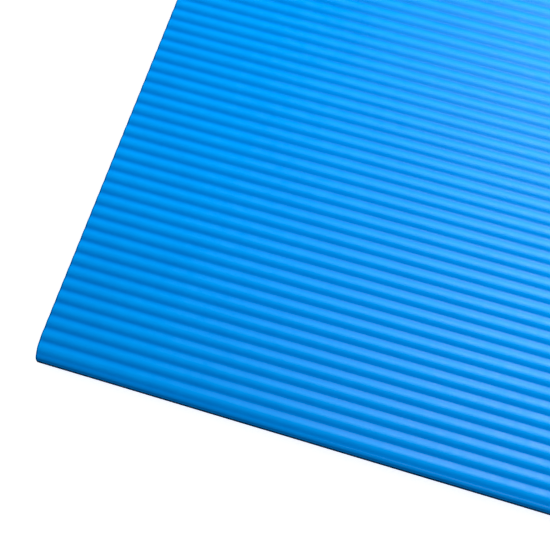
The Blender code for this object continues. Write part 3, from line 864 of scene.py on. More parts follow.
        # Keep the wrinkles, and leave the overall swell to the crown.
        margin = 5
        swell = np.pad(heights, margin, mode="edge")
        for axis in (0, 0, 1, 1):
            swell = np.apply_along_axis(moving_average, axis, swell)
        creases = heights - swell[margin:-margin, margin:-margin]
        typical = max(1e-6, np.percentile(np.abs(creases), 96))
        self.field = cap * np.tanh(creases / typical * 0.9)

    def wrinkles(self, u, v):
        """The draped field at (u, v)."""
        a, b, c, d = self.inset(self.lip)
        us = (u - a[0]) / (b[0] - a[0])
        low = a[1] + (b[1] - a[1]) * us
        high = d[1] + (c[1] - d[1]) * us
        vs = (v - low) / np.maximum(high - low, 1e-6)
        nu, nv = self.field.shape
        x, y = np.clip(us, 0, 1) * (nu - 1), np.clip(vs, 0, 1) * (nv - 1)
        i, j = np.minimum(x.astype(int), nu - 2), np.minimum(y.astype(int), nv - 2)
        f, g = (0.5 * t + 0.5 * smoothstep(t) for t in (x - i, y - j))
        return bilinear(lambda p, q: self.field[p, q], i, j, f, g)

    def points(self, u, v):
        return self.place(u, v, self.height(u, v))

    def mesh(self, name, mat, step=4.2 * MM):
        """The panel as a padded sheet, thickened inwards."""
        a, b, c, d = self.inset(self.lip)
        length_u = max(np.linalg.norm(b - a), np.linalg.norm(c - d))
        length_v = max(np.linalg.norm(d - a), np.linalg.norm(c - b))
        opening_u = opening_v = None
        if self.window:
            u0, u1, v0, v1 = self.window
            opening_u, opening_v = (u0 - a[0], u1 - a[0]), (v0 - a[1], v1 - a[1])
        us = mesh_lines(length_u, step, opening_u)
        vs = mesh_lines(length_v, step, opening_v)
        grid, _, _ = self.spread(us, vs)
        u, v = grid[..., 0], grid[..., 1]
        near = np.min([inward for inward, _ in self.distances(u, v)], 0)
        attrs = {
            "edge": np.exp(-np.maximum(near - self.lip, 0) / (5 * MM)).ravel(),
            "pu": u.ravel() / MM,
            "pv": v.ravel() / MM,
        }
        faces = grid_faces(len(us), len(vs))
        if self.window:
            flat = grid.reshape(-1, 2)
            middles = [(flat[face[0]] + flat[face[2]]) / 2 for face in faces]
            faces = [
                face for face, (mid_u, mid_v) in zip(faces, middles)
                if not (u0 < mid_u < u1 and v0 < mid_v < v1)
            ]
        verts = self.points(u, v).reshape(-1, 3)
        ob = new_mesh(name, verts, faces, [mat], attrs=attrs, outward=False)
        bm = bmesh.new()
        bm.from_mesh(ob.data)
        loose = [vert for vert in bm.verts if not vert.link_faces]
        bmesh.ops.delete(bm, geom=loose, context="VERTS")
        bm.faces.ensure_lookup_table()
        bm.normal_update()
        if bm.faces[len(bm.faces) // 2].normal.dot(Vector(self.outward)) < 0:
            bmesh.ops.reverse_faces(bm, faces=bm.faces)
        bm.to_mesh(ob.data)
        bm.free()
        thickness = ob.modifiers.new("thickness", "SOLIDIFY")
        thickness.thickness = 1.0 * MM
        thickness.offset = -1.0
        return ob


# ---- stitches ----------------------------------------------------------------
def stitch_template(sides=6):
    """One stitch along +X, 1 long, radius 1 in Y and Z at its middle."""
    rings = ((-0.46, 0.62), (-0.30, 0.95), (0.0, 1.0), (0.30, 0.95), (0.46, 0.62))  # x, radius
    angles = [2 * math.pi * k / sides for k in range(sides)]
    verts = [(-0.5, 0, 0)]
    verts += [(x, r * math.cos(t), r * math.sin(t)) for x, r in rings for t in angles]
    verts.append((0.5, 0, 0))
    tip = len(verts) - 1
    pairs = [(k, (k + 1) % sides) for k in range(sides)]
    faces = [(0, 1 + k, 1 + j) for k, j in pairs]
    for a in range(1, tip - sides, sides):
        b = a + sides
        faces += [(a + k, b + k, b + j, a + j) for k, j in pairs]
    last = tip - sides
    faces += [(last + k, tip, last + j) for k, j in pairs]
    return np.array(verts), faces


STITCH_VERTS, STITCH_FACES = stitch_template()


def stitch_faces(first):
    return [tuple(first + i for i in face) for face in STITCH_FACES]


def stitches(name, lines, mat, pitch=4.4 * MM, length=3.3 * MM, radius=0.34 * MM):
    """Thread along lines of (points, outward normal). Each stitch dips in at both ends."""
    verts, faces = [], []
    x, y, z = STITCH_VERTS.T
    dip = 0.30 * MM * (1 - (2 * x) ** 2 * 1.6)
    rise = z * radius * 0.85 + dip * 0.55 - 0.05 * MM
    for points, outward in lines:
        points = np.asarray(points, float)
        steps = np.linalg.norm(np.diff(points, axis=0), axis=1)
        run = np.concatenate([[0], np.cumsum(steps)])
        count = max(1, int(run[-1] // pitch))
        start = (run[-1] - (count - 1) * pitch) / 2
        for k in range(count):
            middle = start + k * pitch
            tail, head = (
                np.array([np.interp(at, run, axis) for axis in points.T])
                for at in (middle - length / 2, middle + length / 2)
            )
            along = (head - tail) / np.linalg.norm(head - tail)
            up = np.array(outward, float)
            up = up - (up @ along) * along
            up /= np.linalg.norm(up)
            side = np.cross(up, along)
            faces += stitch_faces(len(verts))
            verts += list(
                (tail + head) / 2
                + np.outer(x * length, along)
                + np.outer(y * radius, side)
                + np.outer(rise, up)
            )
    return new_mesh(name, verts, faces, [mat], outward=False)


def panel_row(panel, path):
    """A stitch line on a panel through (u, v) corners, sampled every 2 mm."""
    points = []
    for (u0, v0), (u1, v1) in zip(path, path[1:]):
        f = np.linspace(0, 1, max(2, int(math.hypot(u1 - u0, v1 - v0) / (2 * MM))))
        points.append(panel.points(u0 + (u1 - u0) * f, v0 + (v1 - v0) * f))
    return np.concatenate(points), panel.outward


# ---- covers ------------------------------------------------------------------
PANEL_TOP = -8.3 * MM  # top of the upright panels, square to the slope
FOLD_GAP = 6.0 * MM  # from the fold line to either section's fold face
SEAM_ROW = 6.0 * MM  # stitch row, in from the outline
HIGH_ZIP_Z, LOW_ZIP_Z = 56 * MM, 46 * MM
TOE_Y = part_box("low_left_panel")[0].y
BASE_TOE_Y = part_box("low_base_panel")[0].y


def on_x(sign):
    """Places (u, v, h) on a side: u runs along Y, v is Z, h is outwards."""
    return lambda u, v, h: np.stack([sign * (HALF_WIDTH + h), u, v], -1)


def on_y(y, sign):
    """Places (u, v, h) on an upright face across the mat: u is X, v is Z."""
    return lambda u, v, h: np.stack([u, y + sign * h, v], -1)


def on_floor(u, v, h):
    return np.stack([u, v, -h], -1)


def sew_cover(panel, name, body, node, wrinkle_cap, seam_paths):
    """The vinyl cover and its rows of stitches."""
    panel.drape(wrinkle_cap)
    attach(panel.mesh(name, VINYL), body, node)
    rows = [panel_row(panel, path) for path in seam_paths]
    seam = stitches(name.replace("cover", "seam_stitches"), rows, THREAD)
    attach(seam, body)


# Where a side cover is held flat: y, z, half length, half height, angle, reach.
TILT = math.atan2(SIN, COS)
HIGH_SPOTS = [
    (0.210, 0.189, 0.013, 0.022, 0, 0.026),  # handle ends
    (0.350, 0.189, 0.013, 0.022, 0, 0.026),
    (*on_slope(TAB_ALONG, -0.051), 0.031, 0.041, TILT, 0.026),  # tab
    (0.100, 0.070, 0.007, 0.007, 0, 0.022),  # vents
    (0.520, 0.070, 0.007, 0.007, 0, 0.022),
]
LOW_SPOTS = [
    (*on_slope(-TAB_ALONG, -0.022), 0.028, 0.024, TILT, 0.024),  # loop patch
    (-0.100, 0.060, 0.007, 0.007, 0, 0.022),  # vent
]

for prefix, y0, y1, base_y0, lip, spots, seeds, base_seed in (
    ("high", FOLD_GAP, TALL_END, FOLD_GAP, 1.6 * MM, HIGH_SPOTS, (100, 107), 302),
    ("low", TOE_Y, -FOLD_GAP, BASE_TOE_Y, 1.1 * MM, LOW_SPOTS, (121, 128), 305),
):
    body = f"{prefix}_section"
    z0, z1 = height_at(y0, PANEL_TOP), height_at(y1, PANEL_TOP)
    for (side, sign), seed in zip(SIDES, seeds):
        panel = Panel(
            [(y0, 0), (y1, 0), (y1, z1), (y0, z0)], on_x(sign), puff=3.2 * MM, base=-0.15 * MM,
            seed=seed, pucker=0.5 * MM, lip=lip, spots=spots,
        )
        path = [tuple(corner) for corner in panel.inset(SEAM_ROW)]
        if prefix == "high":
            path = path + path[:1]
        else:  # the rows stop short of the pointed toe
            (ay, az), b, c, (dy, dz) = path
            short = 0.03
            path = [(ay + short, az), b, c, (dy + short, dz + short * SIN / COS)]
        name = f"{prefix}_{side}_cover"
        sew_cover(panel, name, body, f"{prefix}_{side}_panel", 1.5 * MM, [path])
    outline = [(-HALF_WIDTH, base_y0), (HALF_WIDTH, base_y0), (HALF_WIDTH, y1), (-HALF_WIDTH, y1)]
    panel = Panel(
        outline, on_floor, puff=0.0, base=0.0, seed=base_seed, pucker=0.12 * MM, lip=1.3 * MM
    )
    base_cover = panel.mesh(f"{prefix}_base_cover", BASE, step=9 * MM)
    attach(base_cover, body, f"{prefix}_base_panel")

# Upright covers across the mat:
# name, section, y, outward sign, y where the top is measured, zip height, puff, cap, seed.
for part, prefix, y, sign, top_y, zip_z, puff, cap, seed in (
    ("back", "high", TALL_END, 1, TALL_END - 1.5 * MM, HIGH_ZIP_Z, 4.5 * MM, 2.4 * MM, 518),
    ("fold", "high", FOLD_GAP, -1, FOLD_GAP, None, 1.2 * MM, 0.7 * MM, 521),
    ("fold", "low", -FOLD_GAP, 1, -FOLD_GAP - 1.5 * MM, LOW_ZIP_Z, 1.2 * MM, 0.7 * MM, 524),
):
    top = height_at(top_y, PANEL_TOP)
    outline = [(-HALF_WIDTH, 0), (HALF_WIDTH, 0), (HALF_WIDTH, top), (-HALF_WIDTH, top)]
    panel = Panel(
        outline, on_y(y, sign), puff=puff, base=-0.3 * MM, seed=seed, pucker=0.5 * MM,
        lip=1.7 * MM, zip_z=zip_z,
    )
    path = [tuple(corner) for corner in panel.inset(SEAM_ROW)]
    paths = [path + path[:1]]
    if zip_z is not None:
        margin = 4.2 * MM
        u0, u1, v0, v1 = panel.window
        u0, u1, v0, v1 = u0 - margin, u1 + margin, v0 - margin, v1 + margin
        paths.append([(u0, v0), (u1, v0), (u1, v1), (u0, v1), (u0, v0)])
    name = f"{prefix}_{part}"
    sew_cover(panel, f"{name}_cover", f"{prefix}_section", f"{name}_panel", cap, paths)


# ---- vinyl under the ribbed sheets, hinge web and toe hem ---------------------
def strip_ring(half, low, high, along):
    """A flat strip's cross-section on the slope, with rounded long edges."""
    middle, radius = (low + high) / 2, (high - low) / 2
    ring = []
    for sign in (1, -1):
        for k in range(7):
            angle = math.pi / 2 - math.pi * k / 6
            x = sign * (half - radius + radius * math.cos(angle))
            above = middle + sign * radius * math.sin(angle)
            ring.append((x, *on_slope(along, above)))
    return ring


def top_layer(name, start, end, half):
    """The cover's sloping top, its long edges slightly wavy."""
    count = max(2, int((end - start) / (20 * MM)))
    rings = []
    for k in range(count + 1):
        along = start + (end - start) * k / count
        wavy = half + 0.25 * MM * math.sin(along * 60)
        rings.append(strip_ring(wavy, -9.6 * MM, -6.8 * MM, along))
    return lofted(name, rings, VINYL)


WEB_END = 40.3 * MM
high_top = top_layer("high_top_cover", WEB_END, SLOPE_END - 2 * MM, HALF_WIDTH - 0.4 * MM)
attach(high_top, "high_section", "high_top_panel")
low_top = top_layer("low_top_cover", -SLOPE_END + 3 * MM, -WEB_END, HALF_WIDTH - 0.9 * MM)
attach(low_top, "low_section", "low_top_panel")


def hinge_web():
    """The strip across the fold, sagging slightly at the fold line."""
    rings = []
    stations = (np.arange(-40, -12, 4.0), np.arange(-12, 12.01, 0.6), np.arange(14, 40.1, 4.0))
    for along in np.concatenate(stations):  # mm
        sag = -0.9 * MM * math.exp(-((along / 5.0) ** 2))
        low, high = -9.5 * MM + sag, -6.85 * MM + sag
        rings.append(strip_ring(HALF_WIDTH - 0.5 * MM, low, high, along * MM))
    return lofted("hinge_web", rings, VINYL)


web = hinge_web()
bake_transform(web)
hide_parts("hinge_web_high", "hinge_web_low")


def toe_hem():
    """A flattened roll along the toe, thinner at both ends."""
    half = HALF_WIDTH - 2.5 * MM
    rings = []
    for x in np.linspace(-half, half, 90):
        fullness = min(1.0, (half - abs(x)) / (4 * MM)) * 0.35 + 0.65
        wobble = 0.15 * MM * math.sin(x * 310) + 0.1 * MM * math.sin(x * 127 + 1)
        ring = []
        for k in range(16):
            angle = 2 * math.pi * k / 16
            y = TOE_Y + 3.4 * MM + wobble + 3.2 * MM * math.cos(angle)
            ring.append((x, y, 1.75 * MM + 1.55 * MM * fullness * math.sin(angle)))
        rings.append(ring)
    return lofted("low_toe_hem", rings, VINYL)


attach(toe_hem(), "low_section")


# ---- foam cores, just inside the covers ---------------------------------------
def core(prefix, y0, y1):
    """A section's foam block, with its side faces' corners eased."""
    inset = 3.4 * MM
    z0, top = inset * 0.7, PANEL_TOP - 1.45 * MM
    low_top, high_top = height_at(y0, top), height_at(y1, top)
    steps = ((0.0, 2.0), (1.2, 0.6), (3.0, 0.0))  # mm in from the side, mm eased
    stations = [(-1, *step) for step in steps] + [(1, *step) for step in reversed(steps)]
    rings = []
    for sign, inward, ease in stations:
        x = sign * (HALF_WIDTH - inset - inward * MM)
        k = min(ease * MM, (low_top - z0) * 0.3)
        corners = ((y0 + k, z0 + k), (y1 - k, z0 + k), (y1 - k, high_top - k), (y0 + k, low_top - k))
        rings.append([(x, y, z) for y, z in corners])
    foam = lofted(f"{prefix}_core_foam", rings, FOAM)
    attach(foam, f"{prefix}_section", f"{prefix}_foam_core")


core("high", FOLD_GAP + 4 * MM, TALL_END - 4.5 * MM)
core("low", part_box("low_foam_core")[0].y + 6 * MM, -FOLD_GAP - 5 * MM)


# ---- handles -----------------------------------------------------------------
def ribbon(name, stations, thick, mat, edge_roll):
    """A flat strip through stations of (centre, width direction, outward direction, width).

    edge_roll thickens the faces towards the strip's long edges.
    """
    cols = 13
    half_thick = thick / 2
    side_in = half_thick * 0.9
    rings, along, across = [], [], []
    run, last = 0.0, stations[0][0]
    for centre, wide, out, width in stations:
        wide, out = wide.normalized(), out.normalized()
        run += (centre - last).length
        last = centre
        flat = width / 2 - side_in
        offsets = []  # across the width, out of the face
        for side in (1, -1):
            for k in range(cols):
                f = side * (-1 + 2 * k / (cols - 1))
                roll = 1 + edge_roll * max(0.0, (abs(f) - 0.82) / 0.18)
                offsets.append((f * flat, side * half_thick * roll))
            for degrees in (60, 90, 120):
                angle = math.radians(degrees)
                u = side * (flat + side_in * math.sin(angle))
                offsets.append((u, side * half_thick * 1.05 * math.cos(angle)))
        rings.append([centre + wide * u + out * h for u, h in offsets])
        along += [run / MM] * len(offsets)
        across += [u / MM for u, _ in offsets]
    attrs = {"along": along, "across": across, "edge": [0.0] * len(along)}
    return lofted(name, rings, mat, attrs=attrs)


SWING = JOINTS["left_handle_swing"]["pos_m"]
SWING_X, SWING_Z = abs(SWING[0]), SWING[2]
loop_lo, loop_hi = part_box("left_handle_loop")
STRAP_WIDTH, STRAP_THICK = 25 * MM, 1.8 * MM
DOWNHILL_Y = loop_lo.y + STRAP_WIDTH / 2
UPHILL_Y = loop_hi.y - STRAP_WIDTH / 2
HANDLE_MID = (DOWNHILL_Y + UPHILL_Y) / 2
HANDLE_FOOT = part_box("left_handle_front_end")[0].z
INNER_X = SWING_X - 2.7 * MM  # the sewn ends lie here


def handle_path():
    """The strap's centre line: y, z, distance from x = 0, width direction (y, z), tilt.

    It runs up the downhill sewn end, over the top, down the leg, round the corner and
    along the grip, then the same mirrored.
    """
    fold_z, fold_radius = SWING_Z - 1.0 * MM, 2.4 * MM
    outer_x = INNER_X + 2 * fold_radius
    corner_radius, grip_z = 31.5 * MM, loop_lo.z + STRAP_WIDTH / 2
    y = DOWNHILL_Y
    path = [(y, z, INNER_X, (1, 0), 0.0) for z in np.linspace(HANDLE_FOOT, fold_z - 0.5 * MM, 16)]
    for k in range(13):
        a = math.pi - math.pi * k / 12
        x = INNER_X + fold_radius + fold_radius * math.cos(a)
        path.append((y, fold_z + fold_radius * math.sin(a), x, (1, 0), 0.0))
    leg = np.linspace(fold_z - 0.8 * MM, grip_z + corner_radius, 18)
    for z in leg:
        f = (leg[0] - z) / (leg[0] - leg[-1])
        path.append((y, z, outer_x + 1.6 * MM * f * f, (1, 0), math.radians(7) * f * f))
    for k in range(1, 15):
        a = math.pi / 2 * k / 14
        bulge = math.sin(2 * a)
        y = DOWNHILL_Y + corner_radius - corner_radius * math.cos(a)
        z = grip_z + corner_radius - corner_radius * math.sin(a)
        x = outer_x + (1.6 + 1.2 * bulge + 0.3 * a) * MM
        path.append((y, z, x, (math.cos(a), math.sin(a)), math.radians(7 + 5 * bulge)))
    grip_start = y
    for y in np.linspace(grip_start + 2.5 * MM, HANDLE_MID, 14):
        f = (y - grip_start) / (HANDLE_MID - grip_start)
        z = grip_z - 1.2 * MM * math.sin(f * math.pi / 2)
        path.append((y, z, outer_x + (2.07 - 0.3 * f) * MM, (0, 1), math.radians(7 - 5 * f)))
    mirrored = [
        (2 * HANDLE_MID - y, z, x, (-wide[0], wide[1]), tilt)
        for y, z, x, wide, tilt in reversed(path[:-1])
    ]
    return path + mirrored


def handle_strap(name, sign):
    path = handle_path()
    stations = []
    for i, (y, z, x, wide, tilt) in enumerate(path):
        before, after = path[max(0, i - 1)], path[min(len(path) - 1, i + 1)]
        dy, dz, dx = (after[axis] - before[axis] for axis in range(3))
        tangent = Vector((sign * dx, dy, dz)).normalized()
        wide = Vector((0, *wide))
        wide = (wide - tangent * wide.dot(tangent)).normalized()
        # The tilt stands the bend's outer edge off the panel, as flat webbing does.
        out = Vector((sign, 0, 0))
        wide = (wide * math.cos(tilt) - out * math.sin(tilt)).normalized()
        face = tangent.cross(wide).normalized() * sign
        stations.append((Vector((sign * x, y, z)), wide, face, STRAP_WIDTH))
    return ribbon(name, stations, STRAP_THICK, WEBBING, edge_roll=0.12)


def handle_stitches(name, sign):
    """A box, a cross and three short bars on each sewn end."""
    x = sign * (INNER_X + STRAP_THICK / 2 + 0.12 * MM)
    half, bar_half = 9.3 * MM, 9.8 * MM
    z0, z1 = HANDLE_FOOT + 3.2 * MM, HANDLE_FOOT + 37 * MM
    lines = []
    for y in (DOWNHILL_Y, UPHILL_Y):
        a, b, c, d = ((x, y + u, z) for u, z in ((-half, z0), (half, z0), (half, z1), (-half, z1)))
        for start, end in ((a, b), (b, c), (c, d), (d, a), (a, c), (b, d)):
            lines.append((np.linspace(start, end, 20), (sign, 0, 0)))
        for rise in (1.2, 2.5, 3.8):
            z = z1 + rise * MM
            bar = np.linspace((x, y - bar_half, z), (x, y + bar_half, z), 12)
            lines.append((bar, (sign, 0, 0)))
    return stitches(name, lines, THREAD_DARK, pitch=3.4 * MM, length=2.7 * MM, radius=0.30 * MM)


for side, sign in SIDES:
    handle = handle_strap(f"{side}_handle_webbing", sign)
    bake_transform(handle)
    ends = (f"{side}_handle_front_end", f"{side}_handle_rear_end")
    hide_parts(f"{side}_handle_loop", *ends)
    attach(handle_stitches(f"{side}_handle_box_stitches", sign), "high_section")

# ---- tabs, hook tape and loop patches ------------------------------------------
TAB_WIDTH = 60 * MM
ALONG_DIR = Vector((0, COS, SIN))
ABOVE_DIR = Vector((0, -SIN, COS))
HOOK_HALF = (24.5 * MM, 13.5 * MM)  # half length along the slope, half height
HOOK_ABOVE = -72.0 * MM
HOOK_IN, HOOK_OUT = 306.86 * MM, 307.45 * MM  # backing's inner and outer faces
LOOP_HALF = (28 * MM, 15 * MM)
LOOP_ABOVE = -27 * MM
LOOP_IN, LOOP_OUT = 304.6 * MM, 306.5 * MM


def side_point(sign, along, above, x):
    y, z = on_slope(along, above)
    return Vector((sign * x, y, z))


def side_run(sign, along0, above0, along1, above1, x):
    """A straight stitch line on a side, sampled about every 2 mm."""
    count = max(6, int(math.hypot(along1 - along0, above1 - above0) / (2 * MM)))
    points = [
        tuple(side_point(sign, along0 + (along1 - along0) * t, above0 + (above1 - above0) * t, x))
        for t in np.linspace(0, 1, count)
    ]
    return points, (sign, 0, 0)


def patch_stitches(name, sign, along, above, half, margin, x, radius):
    """Dark thread round a patch, margin in from its edge."""
    a, b = half[0] - margin, half[1] - margin
    corners = [(along + i * a, above + j * b) for i, j in ((-1, -1), (1, -1), (1, 1), (-1, 1))]
    rows = [side_run(sign, *p, *q, x) for p, q in zip(corners, corners[1:] + corners[:1])]
    return stitches(name, rows, THREAD_DARK, pitch=3.4 * MM, length=2.6 * MM, radius=radius)


def pad_patch(name, sign, along, above, half, x_in, x_out, mat, seed, rough):
    """A flat patch of pile with rounded corners and a soft, uneven face."""
    corner, step = 3 * MM, 1.1 * MM
    half_a, half_b = half
    rows, cols = int(2 * half_a / step) | 1, int(2 * half_b / step) | 1
    a, b = np.meshgrid(
        np.linspace(-1, 1, rows) * half_a, np.linspace(-1, 1, cols) * half_b, indexing="ij"
    )
    edge = np.minimum(half_a - np.abs(a), half_b - np.abs(b))
    # Round the corners by drawing the outline in.
    over_a = np.maximum(np.abs(a) - (half_a - corner), 0)
    over_b = np.maximum(np.abs(b) - (half_b - corner), 0)
    in_corner = (over_a > 0) & (over_b > 0)
    shrink = np.maximum(over_a, over_b) / np.maximum(np.hypot(over_a, over_b), 1e-9)
    a = np.where(in_corner, np.sign(a) * (half_a - corner + over_a * shrink), a)
    b = np.where(in_corner, np.sign(b) * (half_b - corner + over_b * shrink), b)
    drop = (x_out - x_in) * 0.75 * np.exp(-np.maximum(edge, 0) / (0.55 * MM))
    lumps = value_noise(a, b, 2.3 * MM, seed) + 0.8 * value_noise(a, b, 0.9 * MM, seed + 1)
    face = x_out - drop + rough * lumps * np.clip(edge / (1.2 * MM), 0, 1) - rough
    verts = [
        side_point(sign, along + a[i, j], above + b[i, j], face[i, j])
        for i in range(rows)
        for j in range(cols)
    ]
    faces = grid_faces(rows, cols)
    rim = [i * cols for i in range(rows)]
    rim += [(rows - 1) * cols + j for j in range(1, cols)]
    rim += [i * cols + cols - 1 for i in range(rows - 2, -1, -1)]
    rim += list(range(cols - 2, 0, -1))
    back = len(verts)
    verts += [Vector((sign * x_in, verts[r].y, verts[r].z)) for r in rim]
    for k in range(len(rim)):
        q = (k + 1) % len(rim)
        faces.append((rim[k], rim[q], back + q, back + k))
    faces.append(tuple(range(back, back + len(rim))))
    return new_mesh(name, verts, faces, [mat])


def hook_stems(sign):
    """Rows of bent plastic hooks standing on the backing."""
    random = np.random.default_rng(3)
    margin, foot_x, height = 2.4 * MM, HOOK_OUT - 0.08 * MM, 1.1 * MM
    half_a, half_b = HOOK_HALF[0] - margin, HOOK_HALF[1] - margin
    rows, cols = int(2 * half_a / (1.9 * MM)), int(2 * half_b / (1.5 * MM))
    # A hook's curve: lean along the slope in 0.9 mm, share of its height.
    profile = [(0, 0), (0.02, 0.45), (0.10, 0.80), (0.32, 1.0), (0.55, 0.85), (0.62, 0.62)]
    thick = 0.13 * MM
    verts, faces = [], []
    for i in range(rows):
        way = 1 if i % 2 else -1
        for j in range(cols):
            jitter = random.uniform(-0.12, 0.12) * MM
            along = TAB_ALONG - half_a + (i + 0.5) * 2 * half_a / rows + jitter
            above = HOOK_ABOVE - half_b + (j + 0.5) * 2 * half_b / cols
            base = len(verts)
            for k, (lean, share) in enumerate(profile):
                wide = 0.15 * MM * (1 - 0.10 * k)
                x = foot_x + share * height
                centre = side_point(sign, along + way * lean * MM * 0.9, above, x)
                for a, b in ((-1, -1), (1, -1), (1, 1), (-1, 1)):
                    verts.append(centre + ALONG_DIR * (a * thick) + ABOVE_DIR * (b * wide))
            faces += band_faces(len(profile), 4, base)
            faces.append(tuple(range(len(verts) - 4, len(verts))))
    return verts, faces


def hook_tape(name, sign):
    tape = pad_patch(
        name, sign, TAB_ALONG, HOOK_ABOVE, HOOK_HALF, HOOK_IN, HOOK_OUT, HOOKS, seed=11,
        rough=0.03 * MM,
    )
    verts, faces = hook_stems(sign)
    bm = bmesh.new()
    bm.from_mesh(tape.data)
    added = [bm.verts.new(v) for v in verts]
    for face in faces:
        bm.faces.new([added[i] for i in face])
    bm.to_mesh(tape.data)
    bm.free()
    return tape


def tab_strip(name, sign):
    """A strip of cover fabric, sewn at its top and free below, with rounded end corners."""
    corner = 6.0  # mm
    end = -92.0
    heights = [*np.arange(-10, -20, -1.5), *np.arange(-20, -24.6, -0.25)]
    heights += [*np.arange(-25, -91, -2.5), -91.0, -91.6, end]
    stations = []
    for above in heights:  # mm
        free = min(1.0, max(0.0, (-above - 19) / 6))
        width = TAB_WIDTH
        from_end = above - end
        if from_end < corner:
            width -= 2 * corner * MM * (1 - math.sqrt(1 - (1 - from_end / corner) ** 2))
        width += 0.5 * MM * math.sin(above * 0.21 + sign) * free
        centre = side_point(sign, TAB_ALONG, above * MM, (305.75 + 0.45 * free) * MM)
        stations.append((centre, ALONG_DIR, Vector((sign, 0, 0)), width))
    return ribbon(name, stations, 1.1 * MM, VINYL, edge_roll=0.05)


for side, sign in SIDES:
    body = f"{side}_tab"
    tab = tab_strip(f"{side}_tab_strip", sign)
    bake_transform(tab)
    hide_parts(f"{side}_tab_root", f"{side}_tab_flap")

    half, root_x, flap_x = TAB_WIDTH / 2, 306.36 * MM, 306.80 * MM
    low, high = TAB_ALONG - half + 3 * MM, TAB_ALONG + half - 3 * MM
    rows = [side_run(sign, low, n * MM, high, n * MM, root_x) for n in (-12.2, -18.0)]
    name = f"{side}_tab_root_stitches"
    root = stitches(name, rows, THREAD, pitch=3.8 * MM, length=3.0 * MM)
    attach(root, "high_section")
    rows = [side_run(sign, along, -27 * MM, along, -84 * MM, flap_x) for along in (low, high)]
    low, high = TAB_ALONG - half + 7 * MM, TAB_ALONG + half - 7 * MM
    rows.append(side_run(sign, low, -89 * MM, high, -89 * MM, flap_x))
    name = f"{side}_tab_edge_stitches"
    edge = stitches(name, rows, THREAD, pitch=3.8 * MM, length=3.0 * MM, radius=0.28 * MM)
    attach(edge, body)

    tape = hook_tape(f"{side}_hook_backing", sign)
    attach(tape, body, f"{side}_tab_hook_tape")
    seam = patch_stitches(
        f"{side}_hook_stitches", sign, TAB_ALONG, HOOK_ABOVE, HOOK_HALF,
        margin=1.2 * MM, x=HOOK_OUT + 0.02 * MM, radius=0.26 * MM,
    )
    attach(seam, body)

    patch = pad_patch(
        f"low_{side}_loop_pile", sign, -TAB_ALONG, LOOP_ABOVE, LOOP_HALF, LOOP_IN, LOOP_OUT,
        LOOPS, seed=29, rough=0.22 * MM,
    )
    attach(patch, "low_section", f"low_{side}_loop_patch")
    seam = patch_stitches(
        f"low_{side}_patch_stitches", sign, -TAB_ALONG, LOOP_ABOVE, LOOP_HALF,
        margin=1.5 * MM, x=306.30 * MM, radius=0.28 * MM,
    )
    attach(seam, "low_section")

# ---- zips --------------------------------------------------------------------
# Half a tape's cross-section, in mm: away from the zip's middle, out of the face.
TAPE_PROFILE = (
    (0.35, 0.0), (0.30, 0.45), (0.7, 0.62), (1.5, 0.62), (2.3, 0.35), (3.4, 0.05), (6.0, 0.0),
    (10.0, 0.0), (13.4, 0.0), (13.9, -0.35), (13.6, -0.95), (7.0, -1.0), (0.6, -1.0),
)
COIL_START, COIL_LENGTH, COIL_PITCH = -257.2, 515, 1.25  # mm along X


def zip_tapes(name, face_y, mid_z):
    """Both woven halves of one zip's tape, meeting under the coil."""
    verts, faces, along, across = [], [], [], []
    xs = np.arange(-270, 270.01, 6.0)
    for half in (1, -1):
        faces += tube_faces(len(xs), len(TAPE_PROFILE), len(verts))
        for x in xs:
            for away, out in TAPE_PROFILE:
                wobble = 0.06 * math.sin(x * 0.21 + half + away)
                y = face_y + (out + wobble - 0.06) * MM
                verts.append((x * MM, y, mid_z + half * away * MM))
                along.append(x)
                across.append(half * away)
    return new_mesh(name, verts, faces, [TAPE], attrs={"along": along, "across": across})


def zip_coil(name, face_y, mid_z):
    """The two closed coils: slanting loops that interlock down the middle."""
    verts, faces = [], []
    reach, around, proud = STITCH_VERTS.T  # out from the middle, along the zip, out of the face
    lift = 1.15 + 0.28 * (0.5 - np.abs(reach))
    y = face_y + (lift + proud * 0.72) * MM
    for half, shift in ((1, 0.5), (-1, 0.0)):
        z = mid_z + half * (1.15 + reach * 3.3) * MM
        for k in range(int(COIL_LENGTH / COIL_PITCH)):
            x = COIL_START + (k + shift) * COIL_PITCH
            faces += stitch_faces(len(verts))
            slanted = (x + around * 0.50 + half * reach * 0.35) * MM
            verts += list(np.stack([slanted, y, z], -1))
    return new_mesh(name, verts, faces, [COIL])


for prefix, mid_z in (("high", HIGH_ZIP_Z), ("low", LOW_ZIP_Z)):
    body = f"{prefix}_section"
    face_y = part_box(f"{prefix}_zip_tape")[1].y
    tapes = zip_tapes(f"{prefix}_zip_cloth", face_y, mid_z)
    attach(tapes, body, f"{prefix}_zip_tape")
    coil = zip_coil(f"{prefix}_zip_coil", face_y + 0.3 * MM, mid_z)
    attach(coil, body, f"{prefix}_zip_chain")

# ---- vents -------------------------------------------------------------------
# Cross-sections in mm: radius, distance out from the mat's side.
EYELET = (
    (4.5, -1.2), (4.5, 0.4), (4.6, 0.85), (4.9, 1.2), (5.35, 1.42), (5.9, 1.46), (6.5, 1.32),
    (7.2, 1.12), (7.9, 0.95), (8.5, 0.72), (8.85, 0.45), (9.0, 0.1), (8.9, -0.25), (8.4, -0.4),
    (5.2, -0.4), (5.0, -1.2),
)
VENT_DISC = (
    (0.02, -0.35), (1.2, -0.28), (2.6, -0.32), (3.8, -0.45), (4.55, -0.7), (4.55, -1.1),
    (0.02, -1.1),
)


